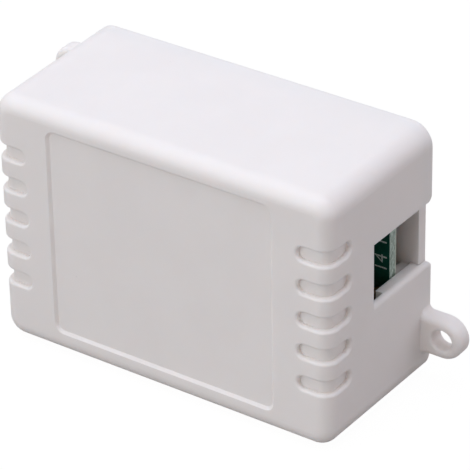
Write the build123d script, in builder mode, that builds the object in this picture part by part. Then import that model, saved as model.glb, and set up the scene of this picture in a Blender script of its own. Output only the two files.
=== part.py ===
# Time delay relay module in a white wall box with two ears.
# X runs along the box, the label face looks to -Y and the wall face to +Y, Z is up.
# The origin is at the middle of the underside. Millimetres.

from math import hypot, radians, tan
from build123d import *
import os

# Screw terminals, one two-pole block at each end of the board
terminal_pitch = 5.08
terminal_depth = 8.0
terminal_height = 10.0
terminal_setback = 3.2
terminal_chamfer = 0.6
cage_width = 3.6
cage_length = 4.0
cage_height = 4.4
cage_wall = 0.6
cage_travel = 2.0
cage_floor = 0.9
cage_clearance = 0.1
clamp_strip = 0.6
screw_shank_radius = 1.2
screw_head_radius = 1.85
screw_head_height = 1.5
screw_head_sink = 0.2
screw_slot_width = 0.5
screw_slot_depth = 0.8
screw_clearance = 0.08
thread_clearance = 0.04

# Relay
relay_length = 19.2
relay_width = 15.4
relay_height = 15.2
relay_standoff = 0.3
relay_wall = 0.6
relay_case_radius = 0.8
relay_base_thickness = 2.0
relay_pin_radius = 0.5
relay_pin_inset = 1.1
coil_pin_drop = 2.35
yoke_thickness = 1.2
yoke_width = 9.0
yoke_rise = 8.6
bobbin_flange = 0.8
bobbin_tube_wall = 0.6
core_radius = 2.0
pole_radius = 3.2
pole_thickness = 0.6
armature_gap = 0.35
armature_thickness = 1.2
armature_width = 8.0
contact_spring_thickness = 0.3
contact_spring_width = 4.0
contact_radius = 1.1
contact_thickness = 0.4
contact_travel = 0.45
contact_blade = 0.4
contact_blade_width = 2.4
assembly_gap = 0.05

# Radial capacitor
capacitor_diameter = 8.0
capacitor_height = 11.5
capacitor_wall = 0.4
capacitor_seal_height = 1.6
capacitor_edge_radius = 0.6
capacitor_crimp_depth = 0.35
capacitor_crimp_rise = 2.6
capacitor_lead_radius = 0.3
capacitor_lead_pitch = 3.5

# Timer chip in a dual in-line case
chip_length = 9.4
chip_width = 6.4
chip_thickness = 3.2
chip_standoff = 0.6
chip_pin_pitch = 2.54
chip_row_pitch = 7.62
chip_pin_radius = 0.25
chip_pin_thickness = 0.3
chip_pin_shoulder = 1.4
chip_notch_radius = 0.8
chip_notch_depth = 0.4

# Delay trimmer
trimmer_size = 7.0
trimmer_height = 3.8
trimmer_pocket_radius = 2.8
trimmer_pocket_depth = 1.5
trimmer_shaft_radius = 0.9
trimmer_slot_width = 0.6
trimmer_slot_length = 3.2
trimmer_slot_depth = 0.7
trimmer_clearance = 0.06
trimmer_pin_radius = 0.35
trimmer_pin_spread = 2.5

# Push button that starts the delay
button_size = 6.0
button_base_height = 3.2
button_cover_thickness = 0.3
button_well_radius = 2.3
button_pin_rise = 0.9
button_stem_radius = 1.75
button_collar_radius = 2.15
button_collar_height = 0.6
button_stem_rise = 1.5
button_travel = 0.25
button_clearance = 0.08
button_dome_radius = 2.0
button_dome_rise = 0.35
button_dome_thickness = 0.15
button_pin_radius = 0.35
button_pin_pitch_x = 6.5
button_pin_pitch_z = 4.5

# Indicator lamp
lamp_radius = 1.5
lamp_height = 5.0
lamp_flange_radius = 1.9
lamp_flange_height = 0.8
lamp_standoff = 0.5
lamp_lead_radius = 0.25
lamp_lead_pitch = 2.54

# Three-lead transistor and regulator
small_case_radius = 2.3
small_case_height = 4.6
small_case_flat = 1.3
small_case_standoff = 2.0
small_case_lead_radius = 0.25
small_case_lead_pitch = 2.54
small_case_lead_bite = 0.8

# Axial resistors and the diode across the relay coil
resistor_radius = 0.9
resistor_length = 3.8
resistor_rows = 3
resistor_row_pitch = 2.1
diode_radius = 1.0
diode_length = 4.0
axial_lead_radius = 0.28
axial_lead_pitch = 7.62
axial_lift = 0.15

# Chip capacitor at the output end of the board
chip_capacitor_length = 2.0
chip_capacitor_width = 1.25
chip_capacitor_height = 1.2
chip_capacitor_cap = 0.4
chip_capacitor_inset = 1.4

# Circuit board and solder
board_thickness = 1.6
board_corner_radius = 0.6
board_edge_margin = 1.5
low_strip = 13.7
low_row_rise = 6.0
part_gap = 1.8
hole_clearance = 0.1
solder_spread = 0.4
solder_top_spread = 0.2
solder_height = 1.1
solder_clearance = 0.01
lead_tip = 1.3

# Box
wall = 2.0
front_wall = 2.0
board_gap_x = 0.4
board_gap_z = 0.5
headroom = 0.5
draft_angle = 0.75
corner_radius = 3.25
front_edge_radius = 2.3
rim_wall = 0.7
rim_edge_radius = 0.45
recess_length = 37.2
recess_height = 32.6
recess_depth = 0.4
recess_corner_radius = 1.5
recess_rise = 0.2
groove_count = 5
groove_pitch = 5.05
groove_rise = 0.6
groove_height = 2.1
groove_arm = 5.2
groove_depth = 0.8
groove_lip_radius = 0.45
notch_height = 9.6
notch_length = 14.2
notch_rise = 3.4
notch_mouth_radius = 0.9
ledge_edge_radius = 0.8
ledge_brow_radius = 0.8
wire_relief_length = 3.5
wire_relief_depth = 1.0
wire_relief_drop = 1.6
ear_reach = 3.35
ear_radius = 3.05
ear_thickness = 2.5
ear_drop = 12.15
ear_hole_radius = 1.6
ear_root_radius = 1.0
ear_edge_radius = 0.9
ear_mouth_radius = 0.4
post_size = 3.4
post_bite = 0.3

# Lid
lid_thickness = 2.0
lid_clearance = 0.08
lid_edge_radius = 0.25
skirt_height = 3.2
skirt_wall = 1.2
skirt_gap = 0.4
grip_rib_width = 1.2
grip_rib_gap = 0.05
grip_rib_spread = 18.0
pry_slot_length = 7.0
pry_slot_depth = 0.8
pry_slot_width = 1.1

# Overall sizes of the box, from what it holds
board_length = (
    2 * terminal_setback + 2 * terminal_depth + capacitor_diameter + relay_width + 3 * part_gap
)
board_height = low_strip + relay_length + board_edge_margin
length = board_length + 2 * board_gap_x + 2 * wall
height = board_height + 2 * board_gap_z + 2 * wall
depth = (
    front_wall + headroom + relay_height + relay_standoff + board_thickness + skirt_height + lid_thickness
)
mid_z = height / 2
rear_y = depth / 2
front_y = -rear_y
lean = tan(radians(draft_angle))
front_inset = depth * lean
lid_seat = rear_y - lid_thickness
board_rear = lid_seat - skirt_height
board_front = board_rear - board_thickness
cavity_front = front_y + front_wall
board_bottom = wall + board_gap_z
board_top = board_bottom + board_height
board_end = board_length / 2
lead_end = board_rear + lead_tip

# Places of the parts on the board
terminal_width = 2 * terminal_pitch
terminal_face = board_end - terminal_setback
terminal_back = terminal_face - terminal_depth
terminal_z = mid_z + notch_rise
relay_x = terminal_back - part_gap - relay_width / 2
relay_z = board_top - board_edge_margin - relay_length / 2
capacitor_x = relay_x - relay_width / 2 - part_gap - capacitor_diameter / 2
capacitor_z = board_top - board_edge_margin - part_gap - capacitor_diameter / 2
low_row_z = board_bottom + low_row_rise
lamp_x = board_end - terminal_setback - 2 * lamp_flange_radius + lamp_radius
button_x = lamp_x - lamp_flange_radius - part_gap - button_pin_pitch_x / 2
trimmer_x = button_x - button_pin_pitch_x / 2 - part_gap - trimmer_size / 2
chip_x = trimmer_x - trimmer_size / 2 - part_gap - chip_length / 2
resistor_x = chip_x - chip_length / 2 - part_gap - axial_lead_pitch / 2
resistor_z = wall + skirt_gap + skirt_wall + axial_lead_radius + solder_spread + part_gap / 2
transistor_x = terminal_face - terminal_depth / 2
transistor_z = low_row_z + button_size / 2 + part_gap / 2 + small_case_radius
regulator_x = -terminal_face + terminal_depth / 2
regulator_z = 2 * mid_z - terminal_z + terminal_width / 2 + part_gap + small_case_radius
diode_x = capacitor_x
diode_z = capacitor_z - capacitor_diameter / 2 - part_gap - diode_radius

half_turn = Axis((0, 0, mid_z), (0, 1, 0))


def facing(y):
    """Plane at depth y that looks to the front, with X to the right and Z up."""
    return Plane.XZ.offset(-y)


def block(x, y, z, mode=Mode.ADD):
    """Adds or cuts a box between three pairs of coordinates."""
    with Locations((sum(x) / 2, sum(y) / 2, sum(z) / 2)):
        Box(x[1] - x[0], y[1] - y[0], z[1] - z[0], mode=mode)


def rod(x, z, y, radius, mode=Mode.ADD):
    """Adds or cuts a cylinder along Y between a pair of depths."""
    with Locations(Location((x, sum(y) / 2, z), (90, 0, 0))):
        Cylinder(radius, y[1] - y[0], mode=mode)


def above(low, high):
    """Pair of depths between two heights above the board's component face."""
    return (board_front - high, board_front - low)


def save(shape, name):
    """Labels a finished piece and writes it."""
    shape.label = name
    export_step(shape, f"parts/{name}.step")


def lead_depths(height_above_board):
    """Pair of depths of a lead, from a height above the board to its tip behind it."""
    return (board_front - height_above_board, lead_end)


# Leads of every part: a place on the board (x, z), a radius and a height above the board
leads = []


def lead(x, z, radius, rise):
    """Adds a lead from a height above the board down through it, and notes its hole."""
    rod(x, z, lead_depths(rise), radius)
    leads.append((x, z, radius))


def axial_body(x, z, radius, body_length):
    """Adds the body of an axial part that lies along X."""
    rise = axial_lift + radius
    with Locations(Location((x, board_front - rise, z), (0, 90, 0))):
        Cylinder(radius, body_length)


def axial_leads(x, z, radius, body_length):
    """Adds the two bent leads of an axial part."""
    rise = axial_lift + radius
    for side in (-1, 1):
        foot_x = x + side * axial_lead_pitch / 2
        body_x = x + side * (body_length / 2 + assembly_gap)
        with Locations(Location(((foot_x + body_x) / 2, board_front - rise, z), (0, 90, 0))):
            Cylinder(axial_lead_radius, abs(foot_x - body_x))
        with Locations((foot_x, board_front - rise, z)):
            Sphere(axial_lead_radius)
        lead(foot_x, z, axial_lead_radius, rise)


def skin_depth(point):
    """How far a point lies under the outer skin beside a front corner."""
    from_end = length / 2 - (rear_y - point.Y) * lean - abs(point.X)
    from_front = point.Y - front_y
    if max(from_end, from_front) < front_edge_radius:
        return front_edge_radius - hypot(front_edge_radius - from_end, front_edge_radius - from_front)
    return min(from_end, from_front)


def is_groove_lip(edge):
    """Tells whether an edge is where a vent groove meets the outer skin."""
    middle = edge.center()
    in_height = abs(middle.Z - mid_z - groove_rise) < groove_count * groove_pitch / 2
    in_corner = abs(middle.X) > length / 2 - groove_arm - front_edge_radius
    in_depth = middle.Y < front_y + groove_arm + groove_depth
    on_skin = all(abs(skin_depth(edge.position_at(t))) < groove_depth / 20 for t in (0, 0.5, 1))
    return in_height and in_corner and in_depth and on_skin


def turned_rise(edge):
    """Height of an edge over the box's middle, taken half a turn round at the left end."""
    middle = edge.center()
    return (middle.Z - mid_z) * (1 if middle.X > 0 else -1)


def is_notch_mouth(edge):
    """Tells whether an edge runs through the wall at a notch's corner on the rear rim."""
    across = edge.bounding_box().size.X > rim_wall / 2
    at_rim = abs(edge.center().Y - rear_y) < lid_clearance
    at_corner = abs(abs(turned_rise(edge) - notch_rise) - notch_height / 2) < lid_clearance
    return across and at_rim and at_corner


os.makedirs("parts", exist_ok=True)

# Housing: drafted box open at the rear, with the ears, notches, grooves and corner posts
cavity_length = length - 2 * wall
cavity_height = height - 2 * wall
with BuildPart() as groove_cutter:
    corner_x = length / 2 - front_inset
    floor_x = corner_x - groove_depth
    floor_y = front_y + groove_depth
    floor_radius = max(front_edge_radius - groove_depth, groove_depth / 4)
    reach = groove_depth + wall
    with BuildSketch(Plane.XY.offset(-groove_height / 2)):
        with BuildLine():
            Polyline(
                (corner_x - groove_arm, front_y - reach),
                (corner_x + reach, front_y - reach),
                (corner_x + reach, front_y + groove_arm),
                (floor_x + groove_arm * lean, front_y + groove_arm),
            )
            FilletPolyline(
                (floor_x + groove_arm * lean, front_y + groove_arm),
                (floor_x, floor_y),
                (corner_x - groove_arm, floor_y),
                radius=floor_radius,
            )
            Line((corner_x - groove_arm, floor_y), (corner_x - groove_arm, front_y - reach))
        make_face()
    extrude(amount=groove_height)
    front_ends = groove_cutter.edges().filter_by(Axis.Y).group_by(Axis.X)[0]
    side_ends = groove_cutter.edges().filter_by(Axis.X).group_by(Axis.Y)[-1]
    fillet(front_ends + side_ends, radius=groove_height * 0.49)

with BuildPart() as ear:
    ear_x = length / 2 + ear_reach
    ear_z = mid_z - ear_drop
    root_x = length / 2 - 2 * ear_thickness * lean
    bite_x = length / 2 - rim_wall + rim_edge_radius / 2
    anchor_x = length / 2 - 2 * wall
    anchor_height = 2 * (ear_radius + ear_root_radius + ear_edge_radius)
    with BuildSketch(facing(rear_y)) as ear_outline:
        with Locations((ear_x, ear_z)):
            Circle(ear_radius)
        with Locations(((anchor_x + ear_x) / 2, ear_z)):
            Rectangle(ear_x - anchor_x, 2 * ear_radius)
        with Locations(((anchor_x + root_x) / 2, ear_z)):
            Rectangle(root_x - anchor_x, anchor_height)
        roots = ear_outline.vertices().filter_by(
            lambda v: abs(v.X - root_x) < 0.01 and abs(v.Y - ear_z) < ear_radius + 0.01
        )
        fillet(roots, radius=ear_root_radius)
    extrude(amount=ear_thickness)
    front_rim = ear.faces().sort_by(Axis.Y)[0].edges()
    fillet(front_rim.filter_by(lambda e: e.center().X > root_x + 0.01), radius=ear_edge_radius)
    block(
        (anchor_x - wall, bite_x),
        (rear_y - 2 * ear_thickness, rear_y + wall),
        (ear_z - anchor_height, ear_z + anchor_height),
        Mode.SUBTRACT,
    )
    rod(ear_x, ear_z, (rear_y - 2 * ear_thickness, rear_y + wall), ear_hole_radius, Mode.SUBTRACT)
    hole_rims = ear.edges().filter_by(
        lambda e: abs(e.radius - ear_hole_radius) < 0.01 if e.geom_type == GeomType.CIRCLE else False
    )
    fillet(hole_rims.sort_by(Axis.Y)[0], radius=ear_mouth_radius)

# Rounds the outer edge of a notch's ledge along the leaning end wall
with BuildPart() as brow_cutter:
    brow_y = rear_y - notch_length
    brow_x = length / 2 - notch_length * lean - ledge_brow_radius
    brow_z = mid_z + notch_rise - notch_height / 2 - ledge_brow_radius
    brow_reach = ledge_brow_radius + wall
    with BuildSketch(facing(brow_y)):
        with Locations((brow_x + brow_reach / 2, brow_z + brow_reach / 2)):
            Rectangle(brow_reach, brow_reach)
        with Locations((brow_x, brow_z)):
            Circle(ledge_brow_radius, mode=Mode.SUBTRACT)
    extrude(amount=notch_length + wall, dir=(lean, 1, 0))

with BuildPart() as housing:
    with BuildSketch(facing(rear_y)):
        with Locations((0, mid_z)):
            RectangleRounded(length, height, corner_radius)
    extrude(amount=depth, taper=draft_angle)
    fillet(housing.faces().sort_by(Axis.Y)[0].edges(), radius=front_edge_radius)
    with BuildSketch(facing(lid_seat)):
        with Locations((0, mid_z)):
            RectangleRounded(cavity_length, cavity_height, max(corner_radius - wall, wall / 4))
    extrude(amount=lid_seat - cavity_front, taper=draft_angle, mode=Mode.SUBTRACT)
    with BuildSketch(facing(rear_y)):
        with Locations((0, mid_z)):
            RectangleRounded(length - 2 * rim_wall, height - 2 * rim_wall, corner_radius - rim_wall)
    extrude(amount=lid_thickness, mode=Mode.SUBTRACT)
    with BuildSketch(facing(front_y)):
        with Locations((0, mid_z + recess_rise)):
            RectangleRounded(recess_length, recess_height, recess_corner_radius)
    extrude(amount=-recess_depth, taper=45, mode=Mode.SUBTRACT)
    # Corner posts that the board rests on
    for side_x in (-1, 1):
        for side_z in (-1, 1):
            inner_x = side_x * (cavity_length / 2 - post_size)
            outer_x = side_x * (cavity_length / 2 + post_bite)
            inner_z = mid_z + side_z * (cavity_height / 2 - post_size)
            outer_z = mid_z + side_z * (cavity_height / 2 + post_bite)
            block(
                sorted((inner_x, outer_x)),
                (cavity_front - post_bite, board_front),
                sorted((inner_z, outer_z)),
            )
    # One ear at each end, half a turn apart
    add(ear.part)
    add(ear.part.rotate(half_turn, 180))
    # Wire notch at each end, open to the rear rim
    for side in (-1, 1):
        notch_z = mid_z + side * notch_rise
        block(
            sorted((side * (cavity_length / 2 - wall), side * (length / 2 + wall))),
            (rear_y - notch_length, rear_y + wall),
            (notch_z - notch_height / 2, notch_z + notch_height / 2),
            Mode.SUBTRACT,
        )
        # Relief inside the wall at the notch's front end, where a wire bends to its terminal
        relief_x = cavity_length / 2 - wall / 2
        relief_z = notch_z - notch_height / 2 if side > 0 else notch_z + notch_height / 2
        block(
            sorted((side * relief_x, side * (cavity_length / 2 + wire_relief_depth))),
            (rear_y - notch_length, rear_y - notch_length + wire_relief_length),
            sorted((relief_z - side * wire_relief_drop, relief_z + side * wall / 4)),
            Mode.SUBTRACT,
        )
    # Vent grooves round both front corners
    for cutter in (groove_cutter.part, groove_cutter.part.mirror(Plane.YZ)):
        for row in range(groove_count):
            with Locations((0, 0, mid_z + groove_rise + (row - (groove_count - 1) / 2) * groove_pitch)):
                add(cutter, mode=Mode.SUBTRACT)
    fillet(housing.edges().filter_by(is_groove_lip), radius=groove_lip_radius)
    mouths = housing.edges().filter_by(is_notch_mouth)
    fillet(mouths.filter_by(lambda e: turned_rise(e) > notch_rise), radius=notch_mouth_radius)
    mouths = housing.edges().filter_by(is_notch_mouth)
    fillet(mouths.filter_by(lambda e: turned_rise(e) < notch_rise), radius=ledge_edge_radius)
    for turn in (0, 180):
        add(brow_cutter.part.rotate(half_turn, turn), mode=Mode.SUBTRACT)
save(housing.part, "housing")

# Rear lid: plate in the rim's rebate, with a skirt that holds the board on its posts
with BuildPart() as rear_lid:
    lid_length = length - 2 * (rim_wall + lid_clearance)
    lid_height = height - 2 * (rim_wall + lid_clearance)
    with BuildSketch(facing(rear_y)):
        with Locations((0, mid_z)):
            RectangleRounded(lid_length, lid_height, corner_radius - rim_wall - lid_clearance)
    extrude(amount=lid_thickness - lid_clearance / 2)
    chamfer(rear_lid.faces().sort_by(Axis.Y)[-1].edges(), length=lid_edge_radius)
    skirt_length = cavity_length - 2 * skirt_gap
    skirt_width = cavity_height - 2 * skirt_gap
    with BuildSketch(facing(lid_seat + lid_clearance / 2)):
        with Locations((0, mid_z)):
            RectangleRounded(skirt_length, skirt_width, skirt_gap)
            Rectangle(skirt_length - 2 * skirt_wall, skirt_width - 2 * skirt_wall, mode=Mode.SUBTRACT)
    extrude(amount=skirt_height + lid_clearance / 2 - grip_rib_gap)
    # The skirt is open beside each wire notch
    for side in (-1, 1):
        notch_z = mid_z + side * notch_rise
        block(
            sorted((side * (skirt_length / 2 - 2 * skirt_wall), side * (skirt_length / 2 + skirt_gap / 2))),
            (board_rear, lid_seat + lid_clearance / 2),
            (notch_z - notch_height / 2 - skirt_gap, notch_z + notch_height / 2 + skirt_gap),
            Mode.SUBTRACT,
        )
    # Grip ribs that push against the long walls
    rib_depths = (board_rear + grip_rib_gap, lid_seat + lid_clearance)
    rib_lean = (rear_y - rib_depths[0]) * lean
    for side_z in (-1, 1):
        for x in (-grip_rib_spread, 0, grip_rib_spread):
            rib_foot = mid_z + side_z * (skirt_width / 2 - skirt_wall / 2)
            rib_top = mid_z + side_z * (cavity_height / 2 - grip_rib_gap - rib_lean)
            block(
                (x - grip_rib_width / 2, x + grip_rib_width / 2), rib_depths, sorted((rib_foot, rib_top))
            )
    # Slots to lever the lid out
    for side_z in (-1, 1):
        slot_edge = mid_z + side_z * (lid_height / 2 + pry_slot_width)
        slot_foot = mid_z + side_z * (lid_height / 2 - pry_slot_width)
        block(
            (-pry_slot_length / 2, pry_slot_length / 2),
            (rear_y - pry_slot_depth, rear_y + pry_slot_depth),
            sorted((slot_foot, slot_edge)),
            Mode.SUBTRACT,
        )
save(rear_lid.part, "rear_lid")

# Relay case: five-sided cover with a small hole vent
relay_foot = relay_standoff
relay_top = relay_standoff + relay_height
base_top = relay_foot + relay_base_thickness
with BuildPart() as relay_case:
    with BuildSketch(facing(board_front - relay_foot)):
        with Locations((relay_x, relay_z)):
            RectangleRounded(relay_width, relay_length, relay_case_radius)
    extrude(amount=relay_height)
    fillet(relay_case.faces().sort_by(Axis.Y)[0].edges(), radius=relay_case_radius / 2)
    block(
        (relay_x - relay_width / 2 + relay_wall, relay_x + relay_width / 2 - relay_wall),
        above(relay_foot - relay_wall, relay_top - relay_wall),
        (relay_z - relay_length / 2 + relay_wall, relay_z + relay_length / 2 - relay_wall),
        Mode.SUBTRACT,
    )
save(relay_case.part, "relay_case")

# Places inside the relay, measured along Z from its middle
yoke_z = relay_z - relay_length / 2 + relay_wall + assembly_gap
coil_z = yoke_z + yoke_thickness + yoke_width / 2 + 2 * assembly_gap
contact_z = relay_z + relay_length / 2 - relay_wall - contact_blade - 2 * contact_radius - assembly_gap
blade_z = relay_z + relay_length / 2 - relay_wall - contact_blade - assembly_gap
yoke_foot = base_top + assembly_gap
bobbin_foot = yoke_foot + yoke_thickness + assembly_gap
yoke_top = bobbin_foot + yoke_rise
bobbin_top = yoke_top - pole_thickness - assembly_gap - armature_gap
pole_top = bobbin_top + assembly_gap + pole_thickness
armature_foot = yoke_top + assembly_gap
armature_top = armature_foot + armature_thickness
spring_top = armature_top + contact_spring_thickness
bobbin_radius = core_radius + assembly_gap + bobbin_tube_wall
coil_radius = yoke_width / 2 - assembly_gap
coil_pin_x = relay_width / 2 - relay_wall - relay_pin_inset
coil_pin_z = coil_z - coil_pin_drop
contact_pin_x = (relay_width - contact_blade_width) / 2 - relay_wall - assembly_gap
contact_pin_z = blade_z + contact_blade / 2
common_pin_z = yoke_z + yoke_thickness / 2
relay_pins = [
    (relay_x, common_pin_z),
    (relay_x - coil_pin_x, coil_pin_z),
    (relay_x + coil_pin_x, coil_pin_z),
    (relay_x - contact_pin_x, contact_pin_z),
    (relay_x + contact_pin_x, contact_pin_z),
]
blade_half = contact_blade_width / 2

with BuildPart() as relay_base:
    block(
        (
            relay_x - relay_width / 2 + relay_wall + assembly_gap,
            relay_x + relay_width / 2 - relay_wall - assembly_gap,
        ),
        above(relay_foot, base_top),
        (
            relay_z - relay_length / 2 + relay_wall + assembly_gap,
            relay_z + relay_length / 2 - relay_wall - assembly_gap,
        ),
    )
    for x, z in relay_pins[:3]:
        rod(x, z, above(0, base_top + relay_wall), relay_pin_radius + assembly_gap, Mode.SUBTRACT)
    for x, z in relay_pins[3:]:
        block(
            (x - blade_half - assembly_gap, x + blade_half + assembly_gap),
            above(0, base_top + relay_wall),
            (blade_z - assembly_gap, z + relay_width),
            Mode.SUBTRACT,
        )
save(relay_base.part, "relay_base")

# Yoke: the iron frame that the armature hinges on, and the common contact's pin
with BuildPart() as relay_yoke:
    half = yoke_width / 2
    block(
        (relay_x - half, relay_x + half),
        above(yoke_foot, yoke_foot + yoke_thickness),
        (yoke_z, coil_z + half),
    )
    block((relay_x - half, relay_x + half), above(yoke_foot, yoke_top), (yoke_z, yoke_z + yoke_thickness))
    rod(relay_x, coil_z, above(0, yoke_top), core_radius + assembly_gap / 2, Mode.SUBTRACT)
    lead(relay_x, common_pin_z, relay_pin_radius, yoke_foot + yoke_thickness / 2)
save(relay_yoke.part, "relay_yoke")

with BuildPart() as relay_core:
    rod(relay_x, coil_z, above(yoke_foot, bobbin_top + 2 * assembly_gap), core_radius)
    rod(relay_x, coil_z, above(bobbin_top + assembly_gap, pole_top), pole_radius)
save(relay_core.part, "relay_core")

with BuildPart() as relay_bobbin:
    half = yoke_width / 2
    for foot in (bobbin_foot, bobbin_top - bobbin_flange):
        flange = above(foot, foot + bobbin_flange)
        block((relay_x - half, relay_x + half), flange, (coil_z - half, coil_z + half))
    rod(relay_x, coil_z, above(bobbin_foot, bobbin_top), bobbin_radius)
    # Lugs that hold the coil pins
    block(
        (relay_x - coil_pin_x - relay_pin_radius, relay_x + coil_pin_x + relay_pin_radius),
        above(bobbin_foot, bobbin_foot + bobbin_flange),
        (coil_pin_z - 2 * relay_pin_radius, coil_pin_z + 2 * relay_pin_radius),
    )
    rod(relay_x, coil_z, above(0, relay_top), core_radius + assembly_gap, Mode.SUBTRACT)
save(relay_bobbin.part, "relay_bobbin")

with BuildPart() as relay_coil:
    winding = above(bobbin_foot + bobbin_flange + assembly_gap, bobbin_top - bobbin_flange - assembly_gap)
    rod(relay_x, coil_z, winding, coil_radius)
    rod(relay_x, coil_z, above(0, relay_top), bobbin_radius + assembly_gap, Mode.SUBTRACT)
save(relay_coil.part, "relay_coil")

with BuildPart() as relay_coil_pins:
    for x, z in relay_pins[1:3]:
        lead(x, z, relay_pin_radius, bobbin_foot - assembly_gap)
save(relay_coil_pins.part, "relay_coil_pins")

# Armature, and the contact spring that is riveted to it
with BuildPart() as relay_armature:
    half = armature_width / 2
    block(
        (relay_x - half, relay_x + half),
        above(armature_foot, armature_top),
        (yoke_z, coil_z + pole_radius),
    )
    chamfer(relay_armature.edges().filter_by(Axis.X).sort_by(Axis.Z)[-2:], length=armature_thickness / 4)
save(relay_armature.part, "relay_armature")

with BuildPart() as relay_contact_spring:
    half = contact_spring_width / 2
    block(
        (relay_x - half, relay_x + half),
        above(armature_top, spring_top),
        (coil_z - half, contact_z + contact_radius),
    )
    rod(
        relay_x,
        contact_z,
        above(armature_top - contact_thickness, spring_top + contact_thickness),
        contact_radius,
    )
save(relay_contact_spring.part, "relay_contact_spring")

# Fixed contacts: the closed one lies over the spring, the open one under it
closed_foot = spring_top + contact_thickness + assembly_gap
open_top = armature_top - contact_thickness - contact_travel
with BuildPart() as relay_closed_contact:
    x = relay_x - contact_pin_x
    arm = above(closed_foot + contact_thickness / 2, closed_foot + contact_thickness / 2 + contact_blade)
    rod(relay_x, contact_z, (arm[1] - contact_blade / 2, board_front - closed_foot), contact_radius)
    block(
        (x - blade_half, relay_x + contact_radius), arm, (contact_z - blade_half, blade_z + contact_blade)
    )
    block(
        (x - blade_half, x + blade_half),
        (arm[0], board_front - relay_foot),
        (blade_z, blade_z + contact_blade),
    )
    lead(x, contact_pin_z, relay_pin_radius / 2, relay_foot + contact_blade)
save(relay_closed_contact.part, "relay_closed_contact")

with BuildPart() as relay_open_contact:
    x = relay_x + contact_pin_x
    arm = above(open_top - contact_thickness / 2 - contact_blade, open_top - contact_thickness / 2)
    rod(relay_x, contact_z, (board_front - open_top, arm[0] + contact_blade / 2), contact_radius)
    block(
        (relay_x - contact_radius, x + blade_half), arm, (contact_z - blade_half, blade_z + contact_blade)
    )
    block(
        (x - blade_half, x + blade_half),
        (arm[0], board_front - relay_foot),
        (blade_z, blade_z + contact_blade),
    )
    lead(x, contact_pin_z, relay_pin_radius / 2, relay_foot + contact_blade)
save(relay_open_contact.part, "relay_open_contact")

# Output screw terminal at the right end; the input one is the same, half a turn round
cavity_roof = cage_floor + cage_height + cage_travel + cage_clearance
cage_x = terminal_face - cage_clearance - cage_length / 2 - cage_wall
strip_top = cage_floor + cage_height - cage_wall - cage_clearance
strip_back = terminal_back + cage_wall + clamp_strip
terminal_pin_x = strip_back - clamp_strip / 2
head_foot = terminal_height - screw_head_sink - screw_head_height
poles = [terminal_z - terminal_pitch / 2, terminal_z + terminal_pitch / 2]
half_cavity = cage_width / 2 + cage_clearance
with BuildPart() as output_terminal_body:
    block(
        (terminal_back, terminal_face),
        above(0, terminal_height),
        (terminal_z - terminal_width / 2, terminal_z + terminal_width / 2),
    )
    top_edge = output_terminal_body.edges().filter_by(Axis.Z).group_by(Axis.Y)[0].sort_by(Axis.X)[-1]
    chamfer(top_edge, length=terminal_chamfer)
    for z in poles:
        block(
            (strip_back - clamp_strip - cage_clearance, terminal_face + wall),
            above(cage_floor - cage_clearance, cavity_roof),
            (z - half_cavity, z + half_cavity),
            Mode.SUBTRACT,
        )
        rod(
            cage_x,
            z,
            above(cavity_roof / 2, terminal_height),
            screw_shank_radius + screw_clearance,
            Mode.SUBTRACT,
        )
        rod(
            cage_x,
            z,
            above(head_foot - screw_clearance, terminal_height + wall),
            screw_head_radius + screw_clearance,
            Mode.SUBTRACT,
        )
        rod(terminal_pin_x, z, above(-wall, cage_floor), clamp_strip, Mode.SUBTRACT)
save(output_terminal_body.part, "output_terminal_body")
save(output_terminal_body.part.rotate(half_turn, 180), "input_terminal_body")

with BuildPart() as output_terminal_contacts:
    for z in poles:
        strip_half = cage_width / 2 - cage_wall - cage_clearance
        block(
            (strip_back - clamp_strip, terminal_face - cage_wall),
            above(strip_top - clamp_strip, strip_top),
            (z - strip_half, z + strip_half),
        )
        block(
            (strip_back - clamp_strip, strip_back),
            above(cage_floor, strip_top),
            (z - strip_half, z + strip_half),
        )
        lead(terminal_pin_x, z, clamp_strip / 2 + assembly_gap, cage_floor + clamp_strip)
save(output_terminal_contacts.part, "output_terminal_contacts")
save(output_terminal_contacts.part.rotate(half_turn, 180), "input_terminal_contacts")
for z in poles:
    leads.append((-terminal_pin_x, 2 * mid_z - z, clamp_strip / 2 + assembly_gap))

for pole, z in enumerate(poles, start=1):
    with BuildPart() as cage:
        block(
            (cage_x - cage_length / 2, cage_x + cage_length / 2),
            above(cage_floor, cage_floor + cage_height),
            (z - cage_width / 2, z + cage_width / 2),
        )
        block(
            (cage_x - cage_length, cage_x + cage_length),
            above(cage_floor + cage_wall, cage_floor + cage_height - cage_wall),
            (z - cage_width / 2 + cage_wall, z + cage_width / 2 - cage_wall),
            Mode.SUBTRACT,
        )
        rod(
            cage_x,
            z,
            above(cage_floor + cage_height / 2, terminal_height),
            screw_shank_radius + thread_clearance,
            Mode.SUBTRACT,
        )
    save(cage.part, f"output_cage_{pole}")
    save(cage.part.rotate(half_turn, 180), f"input_cage_{pole}")
    with BuildPart() as screw:
        shank = above(strip_top + cage_clearance / 2, head_foot + screw_slot_depth / 2)
        rod(cage_x, z, shank, screw_shank_radius)
        rod(cage_x, z, above(head_foot, head_foot + screw_head_height), screw_head_radius)
        head_rim = screw.edges().filter_by(GeomType.CIRCLE).sort_by(Axis.Y)[0]
        chamfer(head_rim, length=screw_slot_width / 2)
        block(
            (cage_x - 2 * screw_head_radius, cage_x + 2 * screw_head_radius),
            above(head_foot + screw_head_height - screw_slot_depth, terminal_height),
            (z - screw_slot_width / 2, z + screw_slot_width / 2),
            Mode.SUBTRACT,
        )
    save(screw.part, f"output_screw_{pole}")
    save(screw.part.rotate(half_turn, 180), f"input_screw_{pole}")

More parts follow.
